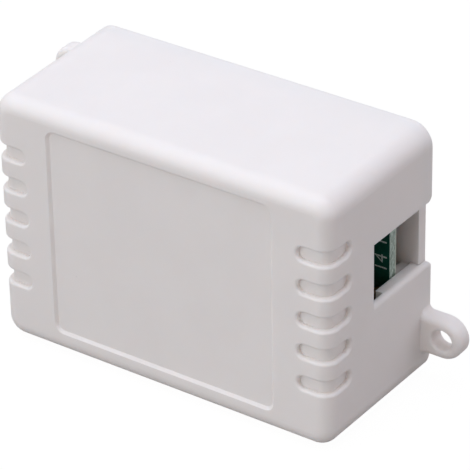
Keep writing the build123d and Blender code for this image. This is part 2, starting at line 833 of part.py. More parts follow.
# Capacitor: aluminium can, crimped over a rubber seal
capacitor_radius = capacitor_diameter / 2
seal_radius = capacitor_radius - capacitor_wall - assembly_gap
with BuildPart() as capacitor_can:
    rod(capacitor_x, capacitor_z, above(0, capacitor_height), capacitor_radius)
    fillet(capacitor_can.edges().filter_by(GeomType.CIRCLE).sort_by(Axis.Y)[0], radius=capacitor_edge_radius)
    rod(
        capacitor_x,
        capacitor_z,
        above(-wall, capacitor_height - capacitor_wall),
        capacitor_radius - capacitor_wall,
        Mode.SUBTRACT,
    )
    # Crimp: a groove pressed into the can over its seal
    with BuildSketch(Plane.XY.offset(capacitor_z)):
        with Locations((capacitor_x + capacitor_radius, board_front - capacitor_crimp_rise)):
            Circle(capacitor_crimp_depth / 2)
    revolve(axis=Axis((capacitor_x, 0, capacitor_z), (0, 1, 0)), mode=Mode.SUBTRACT)
save(capacitor_can.part, "capacitor_can")

with BuildPart() as capacitor_core:
    rod(
        capacitor_x,
        capacitor_z,
        above(capacitor_seal_height + 2 * assembly_gap, capacitor_height - capacitor_wall - assembly_gap),
        seal_radius - assembly_gap,
    )
save(capacitor_core.part, "capacitor_core")

with BuildPart() as capacitor_seal:
    rod(capacitor_x, capacitor_z, above(0, capacitor_seal_height), seal_radius)
    for side in (-1, 1):
        rod(
            capacitor_x + side * capacitor_lead_pitch / 2,
            capacitor_z,
            above(-wall, capacitor_seal_height + wall),
            capacitor_lead_radius + assembly_gap,
            Mode.SUBTRACT,
        )
save(capacitor_seal.part, "capacitor_seal")

with BuildPart() as capacitor_leads:
    for side in (-1, 1):
        x = capacitor_x + side * capacitor_lead_pitch / 2
        lead(x, capacitor_z, capacitor_lead_radius, capacitor_seal_height)
save(capacitor_leads.part, "capacitor_leads")

# Timer chip: moulded case with a notch at one end, and eight bent pins
chip_mid = chip_standoff + chip_thickness / 2
with BuildPart() as timer_chip:
    block(
        (chip_x - chip_length / 2, chip_x + chip_length / 2),
        above(chip_standoff, chip_standoff + chip_thickness),
        (low_row_z - chip_width / 2, low_row_z + chip_width / 2),
    )
    chamfer(timer_chip.faces().sort_by(Axis.Y)[0].edges(), length=chip_notch_depth / 2)
    rod(
        chip_x - chip_length / 2,
        low_row_z,
        above(chip_standoff + chip_thickness - chip_notch_depth, chip_standoff + chip_thickness + wall),
        chip_notch_radius,
        Mode.SUBTRACT,
    )
save(timer_chip.part, "timer_chip")

with BuildPart() as timer_chip_pins:
    for side in (-1, 1):
        row_z = low_row_z + side * chip_row_pitch / 2
        for k in range(4):
            pin_x = chip_x + (k - 1.5) * chip_pin_pitch
            shoulder = (pin_x - chip_pin_shoulder / 2, pin_x + chip_pin_shoulder / 2)
            case_z = low_row_z + side * (chip_width / 2 + assembly_gap)
            outer_z = row_z + side * chip_pin_thickness / 2
            inner_z = row_z - side * chip_pin_thickness / 2
            block(shoulder, above(chip_mid - chip_pin_thickness, chip_mid), sorted((case_z, outer_z)))
            block(shoulder, above(chip_standoff, chip_mid), sorted((inner_z, outer_z)))
            lead(pin_x, row_z, chip_pin_radius, chip_standoff + chip_pin_thickness)
save(timer_chip_pins.part, "timer_chip_pins")

# Trimmer that sets the delay: case, pins, and a rotor with a screwdriver slot
pocket_floor = trimmer_height - trimmer_pocket_depth
with BuildPart() as trimmer_body:
    block(
        (trimmer_x - trimmer_size / 2, trimmer_x + trimmer_size / 2),
        above(0, trimmer_height),
        (low_row_z - trimmer_size / 2, low_row_z + trimmer_size / 2),
    )
    chamfer(trimmer_body.edges().filter_by(Axis.Y), length=trimmer_slot_width)
    rod(
        trimmer_x,
        low_row_z,
        above(pocket_floor, trimmer_height + wall),
        trimmer_pocket_radius,
        Mode.SUBTRACT,
    )
    rod(
        trimmer_x,
        low_row_z,
        above(trimmer_slot_depth, trimmer_height),
        trimmer_shaft_radius + trimmer_clearance,
        Mode.SUBTRACT,
    )
    pin_places = [
        (trimmer_x - trimmer_pin_spread, low_row_z - trimmer_pin_spread),
        (trimmer_x + trimmer_pin_spread, low_row_z - trimmer_pin_spread),
        (trimmer_x, low_row_z + trimmer_pin_spread),
    ]
    for x, z in pin_places:
        rod(x, z, above(-wall, trimmer_slot_depth), trimmer_pin_radius + assembly_gap, Mode.SUBTRACT)
save(trimmer_body.part, "trimmer_body")

with BuildPart() as trimmer_pins:
    for x, z in pin_places:
        lead(x, z, trimmer_pin_radius, trimmer_slot_depth - assembly_gap)
save(trimmer_pins.part, "trimmer_pins")

with BuildPart() as trimmer_rotor:
    rotor_top = trimmer_height + trimmer_slot_depth / 2
    rod(
        trimmer_x,
        low_row_z,
        above(pocket_floor + trimmer_clearance, rotor_top),
        trimmer_pocket_radius - trimmer_clearance,
    )
    rod(
        trimmer_x,
        low_row_z,
        above(trimmer_slot_depth + trimmer_clearance, pocket_floor + 2 * trimmer_clearance),
        trimmer_shaft_radius,
    )
    rotor_rim = trimmer_rotor.edges().filter_by(GeomType.CIRCLE).sort_by(Axis.Y)[0]
    chamfer(rotor_rim, length=trimmer_slot_width / 3)
    for size_x, size_z in (
        (trimmer_slot_width, trimmer_slot_length),
        (trimmer_slot_length, trimmer_slot_width),
    ):
        block(
            (trimmer_x - size_x / 2, trimmer_x + size_x / 2),
            above(rotor_top - trimmer_slot_depth, rotor_top + wall),
            (low_row_z - size_z / 2, low_row_z + size_z / 2),
            Mode.SUBTRACT,
        )
save(trimmer_rotor.part, "trimmer_rotor")

# Push button: base with a well, snap dome, plunger and steel cover
collar_top = button_base_height - button_clearance
collar_foot = collar_top - button_collar_height
cover_top = button_base_height + button_cover_thickness
dome_height = button_dome_rise + button_dome_thickness
dome_foot = collar_foot - button_travel - assembly_gap - dome_height
well_floor = dome_foot - assembly_gap
with BuildPart() as button_base:
    block(
        (button_x - button_size / 2, button_x + button_size / 2),
        above(0, button_base_height),
        (low_row_z - button_size / 2, low_row_z + button_size / 2),
    )
    rod(button_x, low_row_z, above(well_floor, button_base_height + wall), button_well_radius, Mode.SUBTRACT)
save(button_base.part, "button_base")

with BuildPart() as button_cover:
    block(
        (button_x - button_size / 2, button_x + button_size / 2),
        above(button_base_height, cover_top),
        (low_row_z - button_size / 2, low_row_z + button_size / 2),
    )
    rod(
        button_x,
        low_row_z,
        above(button_base_height - wall, cover_top + wall),
        button_stem_radius + button_clearance,
        Mode.SUBTRACT,
    )
    fillet(button_cover.edges().filter_by(Axis.Y), radius=button_cover_thickness)
save(button_cover.part, "button_cover")

with BuildPart() as button_plunger:
    rod(button_x, low_row_z, above(collar_foot, collar_top), button_collar_radius)
    rod(button_x, low_row_z, above(collar_foot, cover_top + button_stem_rise), button_stem_radius)
    fillet(
        button_plunger.edges().filter_by(GeomType.CIRCLE).sort_by(Axis.Y)[0], radius=button_cover_thickness
    )
save(button_plunger.part, "button_plunger")

dome_bend = (button_dome_radius**2 + button_dome_rise**2) / (2 * button_dome_rise)
with BuildPart() as button_dome:
    with BuildSketch(Plane.XY.offset(low_row_z)):
        with BuildLine():
            top_y = board_front - dome_foot - dome_height
            rim_y = top_y + button_dome_rise
            rim_x = button_x + button_dome_radius
            RadiusArc((button_x, top_y), (rim_x, rim_y), dome_bend)
            Line((rim_x, rim_y), (rim_x, rim_y + button_dome_thickness))
            RadiusArc(
                (button_x, top_y + button_dome_thickness), (rim_x, rim_y + button_dome_thickness), dome_bend
            )
            Line((button_x, top_y), (button_x, top_y + button_dome_thickness))
        make_face()
    revolve(axis=Axis((button_x, 0, low_row_z), (0, 1, 0)))
save(button_dome.part, "button_dome")

with BuildPart() as button_pins:
    for side_x in (-1, 1):
        for side_z in (-1, 1):
            pin_x = button_x + side_x * button_pin_pitch_x / 2
            pin_z = low_row_z + side_z * button_pin_pitch_z / 2
            case_x = button_x + side_x * (button_size / 2 + assembly_gap)
            outer_x = pin_x + side_x * button_pin_radius
            block(
                sorted((case_x, outer_x)),
                above(0, button_pin_rise),
                (pin_z - button_pin_radius, pin_z + button_pin_radius),
            )
            lead(pin_x, pin_z, button_pin_radius / 2, button_pin_rise / 2)
save(button_pins.part, "button_pins")

# Indicator lamp with a domed lens
with BuildPart() as indicator_lamp:
    rod(lamp_x, low_row_z, above(lamp_standoff, lamp_standoff + lamp_flange_height), lamp_flange_radius)
    rod(lamp_x, low_row_z, above(lamp_standoff, lamp_standoff + lamp_height), lamp_radius)
    fillet(indicator_lamp.edges().filter_by(GeomType.CIRCLE).sort_by(Axis.Y)[0], radius=lamp_radius * 0.97)
    for side in (-1, 1):
        rod(
            lamp_x + side * lamp_lead_pitch / 2,
            low_row_z,
            above(0, lamp_flange_height),
            lamp_lead_radius + assembly_gap,
            Mode.SUBTRACT,
        )
save(indicator_lamp.part, "indicator_lamp")

with BuildPart() as indicator_lamp_leads:
    for side in (-1, 1):
        x = lamp_x + side * lamp_lead_pitch / 2
        lead(x, low_row_z, lamp_lead_radius, lamp_flange_height - assembly_gap)
save(indicator_lamp_leads.part, "indicator_lamp_leads")

# Transistor that drives the coil, and the voltage regulator, in like cases
for name, x, z in (("transistor", transistor_x, transistor_z), ("regulator", regulator_x, regulator_z)):
    with BuildPart() as small_case:
        case_top = small_case_standoff + small_case_height
        rod(x, z, above(small_case_standoff, case_top), small_case_radius)
        block(
            (x - small_case_radius, x + small_case_radius),
            above(0, case_top + wall),
            (z - 2 * small_case_radius, z - small_case_flat),
            Mode.SUBTRACT,
        )
        for k in (-1, 0, 1):
            rod(
                x + k * small_case_lead_pitch,
                z,
                above(0, small_case_standoff + small_case_lead_bite),
                small_case_lead_radius + assembly_gap,
                Mode.SUBTRACT,
            )
    save(small_case.part, name)
    with BuildPart() as small_case_leads:
        for k in (-1, 0, 1):
            rise = small_case_standoff + small_case_lead_bite - assembly_gap
            lead(x + k * small_case_lead_pitch, z, small_case_lead_radius, rise)
    save(small_case_leads.part, f"{name}_leads")

resistor_places = [(resistor_x, resistor_z + k * resistor_row_pitch) for k in range(resistor_rows)]
with BuildPart() as resistors:
    for x, z in resistor_places:
        axial_body(x, z, resistor_radius, resistor_length)
    fillet(resistors.edges().filter_by(GeomType.CIRCLE), radius=resistor_radius / 3)
save(resistors.part, "resistors")

with BuildPart() as resistor_leads:
    for x, z in resistor_places:
        axial_leads(x, z, resistor_radius, resistor_length)
save(resistor_leads.part, "resistor_leads")

with BuildPart() as coil_diode:
    axial_body(diode_x, diode_z, diode_radius, diode_length)
    chamfer(coil_diode.edges().filter_by(GeomType.CIRCLE), length=diode_radius / 8)
save(coil_diode.part, "coil_diode")

with BuildPart() as coil_diode_leads:
    axial_leads(diode_x, diode_z, diode_radius, diode_length)
save(coil_diode_leads.part, "coil_diode_leads")

# Chip capacitor: ceramic block with a metal cap at each end
chip_capacitor_x = board_end - chip_capacitor_inset
chip_capacitor_z = terminal_z - terminal_width / 2 - part_gap - chip_capacitor_length / 2
cap_x = (chip_capacitor_x - chip_capacitor_width / 2, chip_capacitor_x + chip_capacitor_width / 2)
ceramic_half = chip_capacitor_length / 2 - chip_capacitor_cap
with BuildPart() as chip_capacitor:
    block(
        cap_x,
        above(assembly_gap, chip_capacitor_height),
        (chip_capacitor_z - ceramic_half, chip_capacitor_z + ceramic_half),
    )
save(chip_capacitor.part, "chip_capacitor")

with BuildPart() as chip_capacitor_caps:
    for side in (-1, 1):
        inner_z = chip_capacitor_z + side * ceramic_half
        outer_z = chip_capacitor_z + side * chip_capacitor_length / 2
        block(cap_x, above(0, chip_capacitor_height), sorted((inner_z, outer_z)))
save(chip_capacitor_caps.part, "chip_capacitor_caps")

# Circuit board with a hole for each lead
with BuildPart() as circuit_board:
    with BuildSketch(facing(board_rear)):
        with Locations((0, mid_z)):
            RectangleRounded(board_length, board_height, board_corner_radius)
    extrude(amount=board_thickness)
    for x, z, radius in leads:
        rod(x, z, (board_front - wall, board_rear + wall), radius + hole_clearance, Mode.SUBTRACT)
save(circuit_board.part, "circuit_board")

# Solder: a fillet of metal round each lead behind the board
with BuildPart() as solder_joints:
    for x, z, radius in leads:
        with BuildSketch(facing(board_rear)):
            with Locations((x, z)):
                Circle(radius + solder_spread)
                Circle(radius + solder_clearance, mode=Mode.SUBTRACT)
        with BuildSketch(facing(board_rear + solder_height)):
            with Locations((x, z)):
                Circle(radius + solder_top_spread)
                Circle(radius + solder_clearance, mode=Mode.SUBTRACT)
        loft()
save(solder_joints.part, "solder_joints")
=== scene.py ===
"""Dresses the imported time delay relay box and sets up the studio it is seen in.

The box stands on the floor with its recessed face to -Y and its lid to +Y.
Sizes are in millimetres and become metres where a mesh is made.
"""

import logging
from collections.abc import Callable
from dataclasses import dataclass
from enum import Enum
from math import atan, cos, pi, radians, sin

import bpy
from mathutils import Matrix, Vector


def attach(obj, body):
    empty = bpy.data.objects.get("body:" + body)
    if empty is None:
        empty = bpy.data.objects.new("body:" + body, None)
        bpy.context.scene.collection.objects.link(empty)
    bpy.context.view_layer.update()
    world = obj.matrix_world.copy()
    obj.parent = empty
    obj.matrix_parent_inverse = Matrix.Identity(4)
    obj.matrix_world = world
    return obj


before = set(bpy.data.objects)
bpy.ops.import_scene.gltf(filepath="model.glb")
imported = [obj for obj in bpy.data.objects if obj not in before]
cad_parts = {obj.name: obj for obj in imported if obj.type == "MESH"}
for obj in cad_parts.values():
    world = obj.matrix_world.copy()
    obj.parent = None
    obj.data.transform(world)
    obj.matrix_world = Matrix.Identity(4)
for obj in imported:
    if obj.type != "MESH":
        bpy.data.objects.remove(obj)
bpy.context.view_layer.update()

log = logging.getLogger("relay_box")

MM = 0.001
Colour = tuple[float, float, float]
Point = tuple[float, float, float]
Place = tuple[float, float]
Span = tuple[float, float]
Socket = bpy.types.NodeSocket
WHITE: Colour = (1.0, 1.0, 1.0)
EVEN: Point = (1.0, 1.0, 1.0)
NOISE_SPAN: Span = (0.3, 0.7)
CLOUD_SPAN: Span = (0.35, 0.65)
CLOUD_DETAIL = 3.0
BOARD_FRONT = 5.6
BOARD_REAR = 7.2


class Along(Enum):
    """A direction of the box, as a place in a vector."""

    X = 0
    Y = 1
    Z = 2


class BoardSide(Enum):
    """A face of the circuit board, as its depth and the way it looks."""

    FRONT = (BOARD_FRONT, -1.0)
    REAR = (BOARD_REAR, 1.0)

    @property
    def depth(self) -> float:
        """Depth of the face."""
        return self.value[0]

    @property
    def outward(self) -> float:
        """Sign of the direction away from the board."""
        return self.value[1]


class Reading(Enum):
    """The way a number on the board reads, as a turn from level in degrees."""

    LEVEL = 0.0
    UPWARD = 90.0
    DOWNWARD = -90.0


def shaded(colour: Colour, share: float) -> Colour:
    """Darkens a colour to a share of itself."""
    return (colour[0] * share, colour[1] * share, colour[2] * share)


def blend(tree: bpy.types.NodeTree, share: Socket, first: Socket, second: Socket, out: Socket) -> None:
    """Mixes two shaders.

    Args:
        tree: The nodes that they are in.
        share: Share of the second.
        first: Shader at 0.
        second: Shader at 1.
        out: Input that takes the mixed shader.
    """
    node = tree.nodes.new("ShaderNodeMixShader")
    for target, source in zip(node.inputs, (share, first, second)):
        tree.links.new(source, target)
    tree.links.new(node.outputs[0], out)


class Recipe:
    """One material's shader, and the node steps that a finish builds it from.

    A Mix node keeps a set of sockets for each kind of value, so the places of
    its colour sockets are given here.
    """

    mix_inputs = (0, 6, 7)
    mix_output = 2

    def __init__(self, name: str) -> None:
        """Starts a material with a plain shader.

        Args:
            name: Name of the material.
        """
        self.material = bpy.data.materials.new(name)
        self.material.use_nodes = True
        self.tree = self.material.node_tree
        self.shader = self.tree.nodes["Principled BSDF"]
        self.out = self.tree.nodes["Material Output"]
        self.place = self.add("ShaderNodeTexCoord").outputs["Object"]

    def add(self, kind: str) -> bpy.types.Node:
        """Adds a node of a kind."""
        return self.tree.nodes.new(kind)

    def join(self, source: Socket, target: Socket) -> None:
        """Links an output to an input."""
        self.tree.links.new(source, target)

    def feed(self, target: Socket, value: Socket | Colour | float) -> None:
        """Links an input, or sets it where the value is plain.

        Args:
            target: The input.
            value: An output, a colour or a number.
        """
        if isinstance(value, Socket):
            self.join(value, target)
        elif isinstance(value, tuple) and target.type == "RGBA":
            target.default_value = (*value, 1.0)
        else:
            target.default_value = value

    def noise(self, grain: float, detail: float = 2.0, stretch: Point = EVEN) -> Socket:
        """Makes a soft random pattern.

        Args:
            grain: Size of a spot.
            detail: Number of finer layers.
            stretch: Factor on the pattern's scale along each axis, small for long streaks.

        Returns:
            The pattern, most of it within NOISE_SPAN.
        """
        mapping = self.add("ShaderNodeMapping")
        mapping.inputs["Scale"].default_value = stretch
        self.join(self.place, mapping.inputs["Vector"])
        noise = self.add("ShaderNodeTexNoise")
        noise.inputs["Scale"].default_value = 1.0 / (grain * MM)
        noise.inputs["Detail"].default_value = detail
        self.join(mapping.outputs["Vector"], noise.inputs["Vector"])
        return noise.outputs["Fac"]

    def scatter(self, spacing: float) -> Socket:
        """Scatters many points.

        Args:
            spacing: Usual distance between neighbours.

        Returns:
            The distance to the nearest point, in spacings.
        """
        cells = self.add("ShaderNodeTexVoronoi")
        cells.inputs["Scale"].default_value = 1.0 / (spacing * MM)
        self.join(self.place, cells.inputs["Vector"])
        return cells.outputs["Distance"]

    def ramp(self, value: Socket, low: float, high: float, bottom: float = 0.0,
             top: float = 1.0) -> Socket:
        """Stretches a pattern between two levels and holds it beyond them.

        Args:
            value: The pattern.
            low: Level that becomes the bottom.
            high: Level that becomes the top.
            bottom: Result at the low level.
            top: Result at the high level.

        Returns:
            The stretched pattern.
        """
        node = self.add("ShaderNodeMapRange")
        node.interpolation_type = "SMOOTHSTEP"
        self.join(value, node.inputs["Value"])
        for socket, number in zip(node.inputs[1:5], (low, high, bottom, top)):
            socket.default_value = number
        return node.outputs["Result"]

    def drift(self, grain: float, bottom: float = 0.0, top: float = 1.0) -> Socket:
        """Makes a soft random pattern that drifts between two values."""
        return self.ramp(self.noise(grain), *NOISE_SPAN, bottom, top)

    def cloud(self, grain: float, span: Span = CLOUD_SPAN, top: float = 1.0) -> Socket:
        """Makes a random pattern with finer spots in it, from 0 to a top value."""
        return self.ramp(self.noise(grain, CLOUD_DETAIL), *span, 0.0, top)

    def mix(self, share: Socket | float, first: Socket | Colour, second: Socket | Colour) -> Socket:
        """Mixes two colours.

        Args:
            share: Share of the second.
            first: Colour at 0.
            second: Colour at 1.

        Returns:
            The mixed colour.
        """
        node = self.add("ShaderNodeMix")
        node.data_type = "RGBA"
        for place, value in zip(self.mix_inputs, (share, first, second)):
            self.feed(node.inputs[place], value)
        return node.outputs[self.mix_output]

    def tone(self, pattern: Socket, colour: Colour, share: float) -> Socket:
        """Darkens a colour to a share of itself where a pattern is low."""
        return self.mix(pattern, shaded(colour, share), colour)

    def work(self, kind: str, *values: Socket | float) -> Socket:
        """Works out a Math node.

        Args:
            kind: What it does, such as MULTIPLY.
            *values: What it does that to.

        Returns:
            The result.
        """
        node = self.add("ShaderNodeMath")
        node.operation = kind
        for socket, value in zip(node.inputs, values):
            self.feed(socket, value)
        return node.outputs[0]

    def part_of(self, vector: Socket, axis: Along) -> Socket:
        """Takes one axis out of a vector.

        Args:
            vector: The vector.
            axis: The axis.

        Returns:
            The vector's value along it.
        """
        node = self.add("ShaderNodeSeparateXYZ")
        self.join(vector, node.inputs[0])
        return node.outputs[axis.value]

    def along(self, axis: Along) -> Socket:
        """Gives the place along an axis, in millimetres."""
        return self.work("MULTIPLY", self.part_of(self.place, axis), 1.0 / MM)

    def facing(self, axis: Along) -> Socket:
        """Gives how far the surface looks along an axis, from -1 to 1."""
        return self.part_of(self.add("ShaderNodeNewGeometry").outputs["True Normal"], axis)

    def within(self, axis: Along, low: float, high: float, soft: float = 0.02) -> Socket:
        """Gives 1 between two places along an axis and 0 outside them.

        Args:
            axis: The axis.
            low: Lower place.
            high: Upper place.
            soft: Width of the soft edge.

        Returns:
            The mask.
        """
        here = self.along(axis)
        rise = self.ramp(here, low - soft, low + soft)
        return self.work("MULTIPLY", rise, self.ramp(here, high - soft, high + soft, 1.0, 0.0))

    def range_from(self, middle: Point) -> Socket:
        """Gives the distance from a point.

        Args:
            middle: The point.

        Returns:
            The distance, in millimetres.
        """
        node = self.add("ShaderNodeVectorMath")
        node.operation = "DISTANCE"
        self.join(self.place, node.inputs[0])
        node.inputs[1].default_value = Vector(middle) * MM
        return self.work("MULTIPLY", node.outputs["Value"], 1.0 / MM)

    def bump(self, height: Socket, depth: float, before: Socket | None = None) -> Socket:
        """Turns a pattern into relief.

        Args:
            height: The pattern.
            depth: Relief between 0 and 1 of the pattern.
            before: Relief that this one lies on.

        Returns:
            The normal.
        """
        node = self.add("ShaderNodeBump")
        node.inputs["Distance"].default_value = depth * MM
        self.join(height, node.inputs["Height"])
        if before is not None:
            self.join(before, node.inputs["Normal"])
        return node.outputs["Normal"]

    def relief(self, size: float, depth: float, before: Socket | None = None) -> Socket:
        """Makes soft random relief, on top of other relief where there is some."""
        return self.bump(self.noise(size), depth, before)

    def finish(self, **settings: Socket | Colour | float) -> bpy.types.Material:
        """Sets the shader's inputs and hands over the material.

        Args:
            **settings: Values by input name, with _ for a space.

        Returns:
            The finished material.
        """
        for name, value in settings.items():
            self.feed(self.shader.inputs[name.replace("_", " ")], value)
        return self.material


@dataclass(frozen=True)
class MouldedPlastic:
    """An injection-moulded plastic with a fine spark-eroded grain."""

    name: str
    colour: Colour
    roughness: float = 0.5
    grain: float = 0.22
    grain_depth: float = 0.003
    cloud: float = 0.03
    cloud_size: float = 9.0
    fleck_spacing: float = 5.0
    fleck_reach: Span = (0.012, 0.02)
    fleck_share: float = 0.3
    fleck_shade: float = 0.5
    swell_size: float = 14.0
    swell_depth: float = 0.012
    swell_detail: float = 1.0
    polish_size: float = 2.5
    polish: Span = (-0.04, 0.05)
    pins: tuple[Place, ...] = ()
    pin_radius: float = 1.5
    pin_edge: float = 0.06
    pin_depth: float = 0.05
    pin_span: Span = (-10.6, 10.6)
    flat_span: Span = (0.9, 0.95)
    dust: tuple[Point, ...] = ()
    dust_radius: float = 0.16
    dust_colour: Colour = (0.06, 0.055, 0.05)
    sink: float = 0.0
    sink_reach: Colour = (1.0, 0.85, 0.75)
    sink_depth: float = 1.3

    def pin_rings(self, recipe: Recipe) -> Socket | None:
        """Makes the round marks that the mould's ejector pins leave inside the box.

        Args:
            recipe: The material's recipe.

        Returns:
            The marks' pattern, or None where there are no pins.
        """
        rings = None
        for x, z in self.pins:
            off_x = recipe.work("SUBTRACT", recipe.along(Along.X), x)
            off_z = recipe.work("SUBTRACT", recipe.along(Along.Z), z)
            squares = [recipe.work("MULTIPLY", off, off) for off in (off_x, off_z)]
            reach = recipe.work("SQRT", recipe.work("ADD", *squares))
            inner, outer = self.pin_radius - self.pin_edge, self.pin_radius + self.pin_edge
            disc = recipe.ramp(reach, inner, outer, 1.0, 0.0)
            rings = disc if rings is None else recipe.work("MAXIMUM", rings, disc)
        if rings is None:
            return None
        inside = recipe.within(Along.Y, *self.pin_span)
        flat = recipe.ramp(recipe.work("ABSOLUTE", recipe.facing(Along.Y)), *self.flat_span)
        return recipe.work("MULTIPLY", recipe.work("MULTIPLY", rings, inside), flat)

    def make(self) -> bpy.types.Material:
        """Builds the material.

        Returns:
            The material.
        """
        recipe = Recipe(self.name)
        colour = recipe.tone(recipe.cloud(self.cloud_size), self.colour, 1.0 - self.cloud)
        fleck = recipe.ramp(recipe.scatter(self.fleck_spacing), *self.fleck_reach, self.fleck_share, 0.0)
        colour = recipe.mix(fleck, colour, shaded(self.colour, self.fleck_shade))
        for spot in self.dust:
            away = recipe.range_from(spot)
            speck = recipe.ramp(away, self.dust_radius * 0.5, self.dust_radius, 1.0, 0.0)
            colour = recipe.mix(speck, colour, self.dust_colour)
        swell = recipe.bump(recipe.noise(self.swell_size, self.swell_detail), self.swell_depth)
        relief = recipe.relief(self.grain, self.grain_depth, swell)
        rings = self.pin_rings(recipe)
        if rings is not None:
            relief = recipe.bump(rings, -self.pin_depth, relief)
        low, high = self.polish
        rough = recipe.drift(self.polish_size, self.roughness + low, self.roughness + high)
        return recipe.finish(Base_Color=colour, Roughness=rough, Normal=relief,
                             Subsurface_Weight=self.sink, Subsurface_Radius=self.sink_reach,
                             Subsurface_Scale=self.sink_depth * MM)


@dataclass(frozen=True)
class BoardLaminate:
    """A glass-fibre board: green mask on its faces and bare cut fibre at its edges."""

    name: str = "board_laminate"
    mask: Colour = (0.004, 0.075, 0.052)
    fibre: Colour = (0.50, 0.60, 0.54)
    resin: Colour = (0.20, 0.27, 0.22)
    burr: Colour = (0.62, 0.68, 0.58)
    burr_spacing: float = 0.55
    burr_reach: Span = (0.14, 0.26)
    burr_share: float = 0.7
    weave_size: float = 0.3
    weave_stretch: Point = (1.0, 3.0, 0.45)
    weave_span: Span = (0.38, 0.6)
    weave_depth: float = 0.012
    rear_burr: Span = (-0.16, 0.1)
    rear_soft: float = 0.04
    mask_size: float = 3.0
    mask_shade: float = 0.8
    face_span: Span = (0.6, 0.8)
    edge_roughness: float = 0.85
    face_roughness: float = 0.28

    def make(self) -> bpy.types.Material:
        """Builds the material.

        Returns:
            The material.
        """
        recipe = Recipe(self.name)
        face = recipe.ramp(recipe.work("ABSOLUTE", recipe.facing(Along.Y)), *self.face_span)
        threads = recipe.noise(self.weave_size, stretch=self.weave_stretch)
        weave = recipe.ramp(threads, *self.weave_span)
        fleck = recipe.ramp(recipe.scatter(self.burr_spacing), *self.burr_reach, self.burr_share, 0.0)
        edge = recipe.mix(fleck, recipe.mix(weave, self.resin, self.fibre), self.burr)
        low, high = self.rear_burr
        rear = recipe.within(Along.Y, BOARD_REAR + low, BOARD_REAR + high, self.rear_soft)
        edge = recipe.mix(rear, edge, self.burr)
        mask = recipe.tone(recipe.drift(self.mask_size), self.mask, self.mask_shade)
        colour = recipe.mix(face, edge, mask)
        rough = recipe.ramp(face, 0.0, 1.0, self.edge_roughness, self.face_roughness)
        relief = recipe.bump(weave, self.weave_depth)
        return recipe.finish(Base_Color=colour, Roughness=rough, Normal=relief)


@dataclass(frozen=True)
class PlatedMetal:
    """A bright metal, drawn or plated, with fine lines along one axis."""

    name: str
    colour: Colour
    roughness: float = 0.3
    lines: Point = (6.0, 0.4, 6.0)
    line_depth: float = 0.002
    stain: Colour = (0.5, 0.47, 0.42)
    stain_share: float = 0.15
    line_size: float = 0.4
    stain_size: float = 1.8
    stain_span: Span = (0.45, 0.7)
    polish: Span = (-0.07, 0.1)

    def make(self) -> bpy.types.Material:
        """Builds the material.

        Returns:
            The material.
        """
        recipe = Recipe(self.name)
        cloud = recipe.cloud(self.stain_size, self.stain_span, self.stain_share)
        colour = recipe.mix(cloud, self.colour, self.stain)
        drawn = recipe.noise(self.line_size, stretch=self.lines)
        low, high = self.polish
        rough = recipe.ramp(drawn, *NOISE_SPAN, self.roughness + low, self.roughness + high)
        relief = recipe.bump(drawn, self.line_depth)
        return recipe.finish(Base_Color=colour, Metallic=1.0, Roughness=rough, Normal=relief)


@dataclass(frozen=True)
class WoundWire:
    """Enamelled copper wire in close turns across one axis."""

    name: str = "coil_copper"
    copper: Colour = (0.72, 0.30, 0.12)
    gap: Colour = (0.16, 0.05, 0.02)
    pitch: float = 0.16
    crest_span: Span = (-1.0, 0.6)
    tone_size: float = 1.5
    tone_shade: float = 0.8
    turn_depth: float = 0.05
    metal_share: float = 0.8
    roughness: float = 0.35

    def make(self) -> bpy.types.Material:
        """Builds the material.

        Returns:
            The material.
        """
        recipe = Recipe(self.name)
        turns = recipe.work("SINE", recipe.work("MULTIPLY", recipe.along(Along.Y), 2.0 * pi / self.pitch))
        crest = recipe.ramp(turns, *self.crest_span)
        tone = recipe.tone(recipe.drift(self.tone_size), self.copper, self.tone_shade)
        colour = recipe.mix(crest, self.gap, tone)
        relief = recipe.bump(crest, self.turn_depth)
        return recipe.finish(Base_Color=colour, Metallic=self.metal_share, Roughness=self.roughness,
                             Normal=relief)


@dataclass(frozen=True)
class Band:
    """One painted ring on a part that lies along X."""

    middle: float
    width: float
    colours: tuple[Colour, ...]


@dataclass(frozen=True)
class BandedBody:
    """A lacquered body with painted rings, which may differ from row to row."""

    name: str
    colour: Colour
    bands: tuple[Band, ...]
    row_edges: tuple[float, ...] = ()
    roughness: float = 0.35
    cloud_size: float = 0.8
    cloud_shade: float = 0.88
    edge_soft: float = 0.01
    dent_size: float = 0.5
    dent_depth: float = 0.01
    coat: float = 0.3

    def make(self) -> bpy.types.Material:
        """Builds the material.

        Returns:
            The material.
        """
        recipe = Recipe(self.name)
        colour = recipe.tone(recipe.cloud(self.cloud_size), self.colour, self.cloud_shade)
        for band in self.bands:
            paint: Socket | Colour = band.colours[0]
            for edge, paint_above in zip(self.row_edges, band.colours[1:]):
                above = recipe.ramp(recipe.along(Along.Z), edge - self.edge_soft, edge + self.edge_soft)
                paint = recipe.mix(above, paint, paint_above)
            ring = recipe.within(Along.X, band.middle - band.width / 2, band.middle + band.width / 2)
            colour = recipe.mix(ring, colour, paint)
        relief = recipe.relief(self.dent_size, self.dent_depth)
        return recipe.finish(Base_Color=colour, Roughness=self.roughness, Normal=relief,
                             Coat_Weight=self.coat)


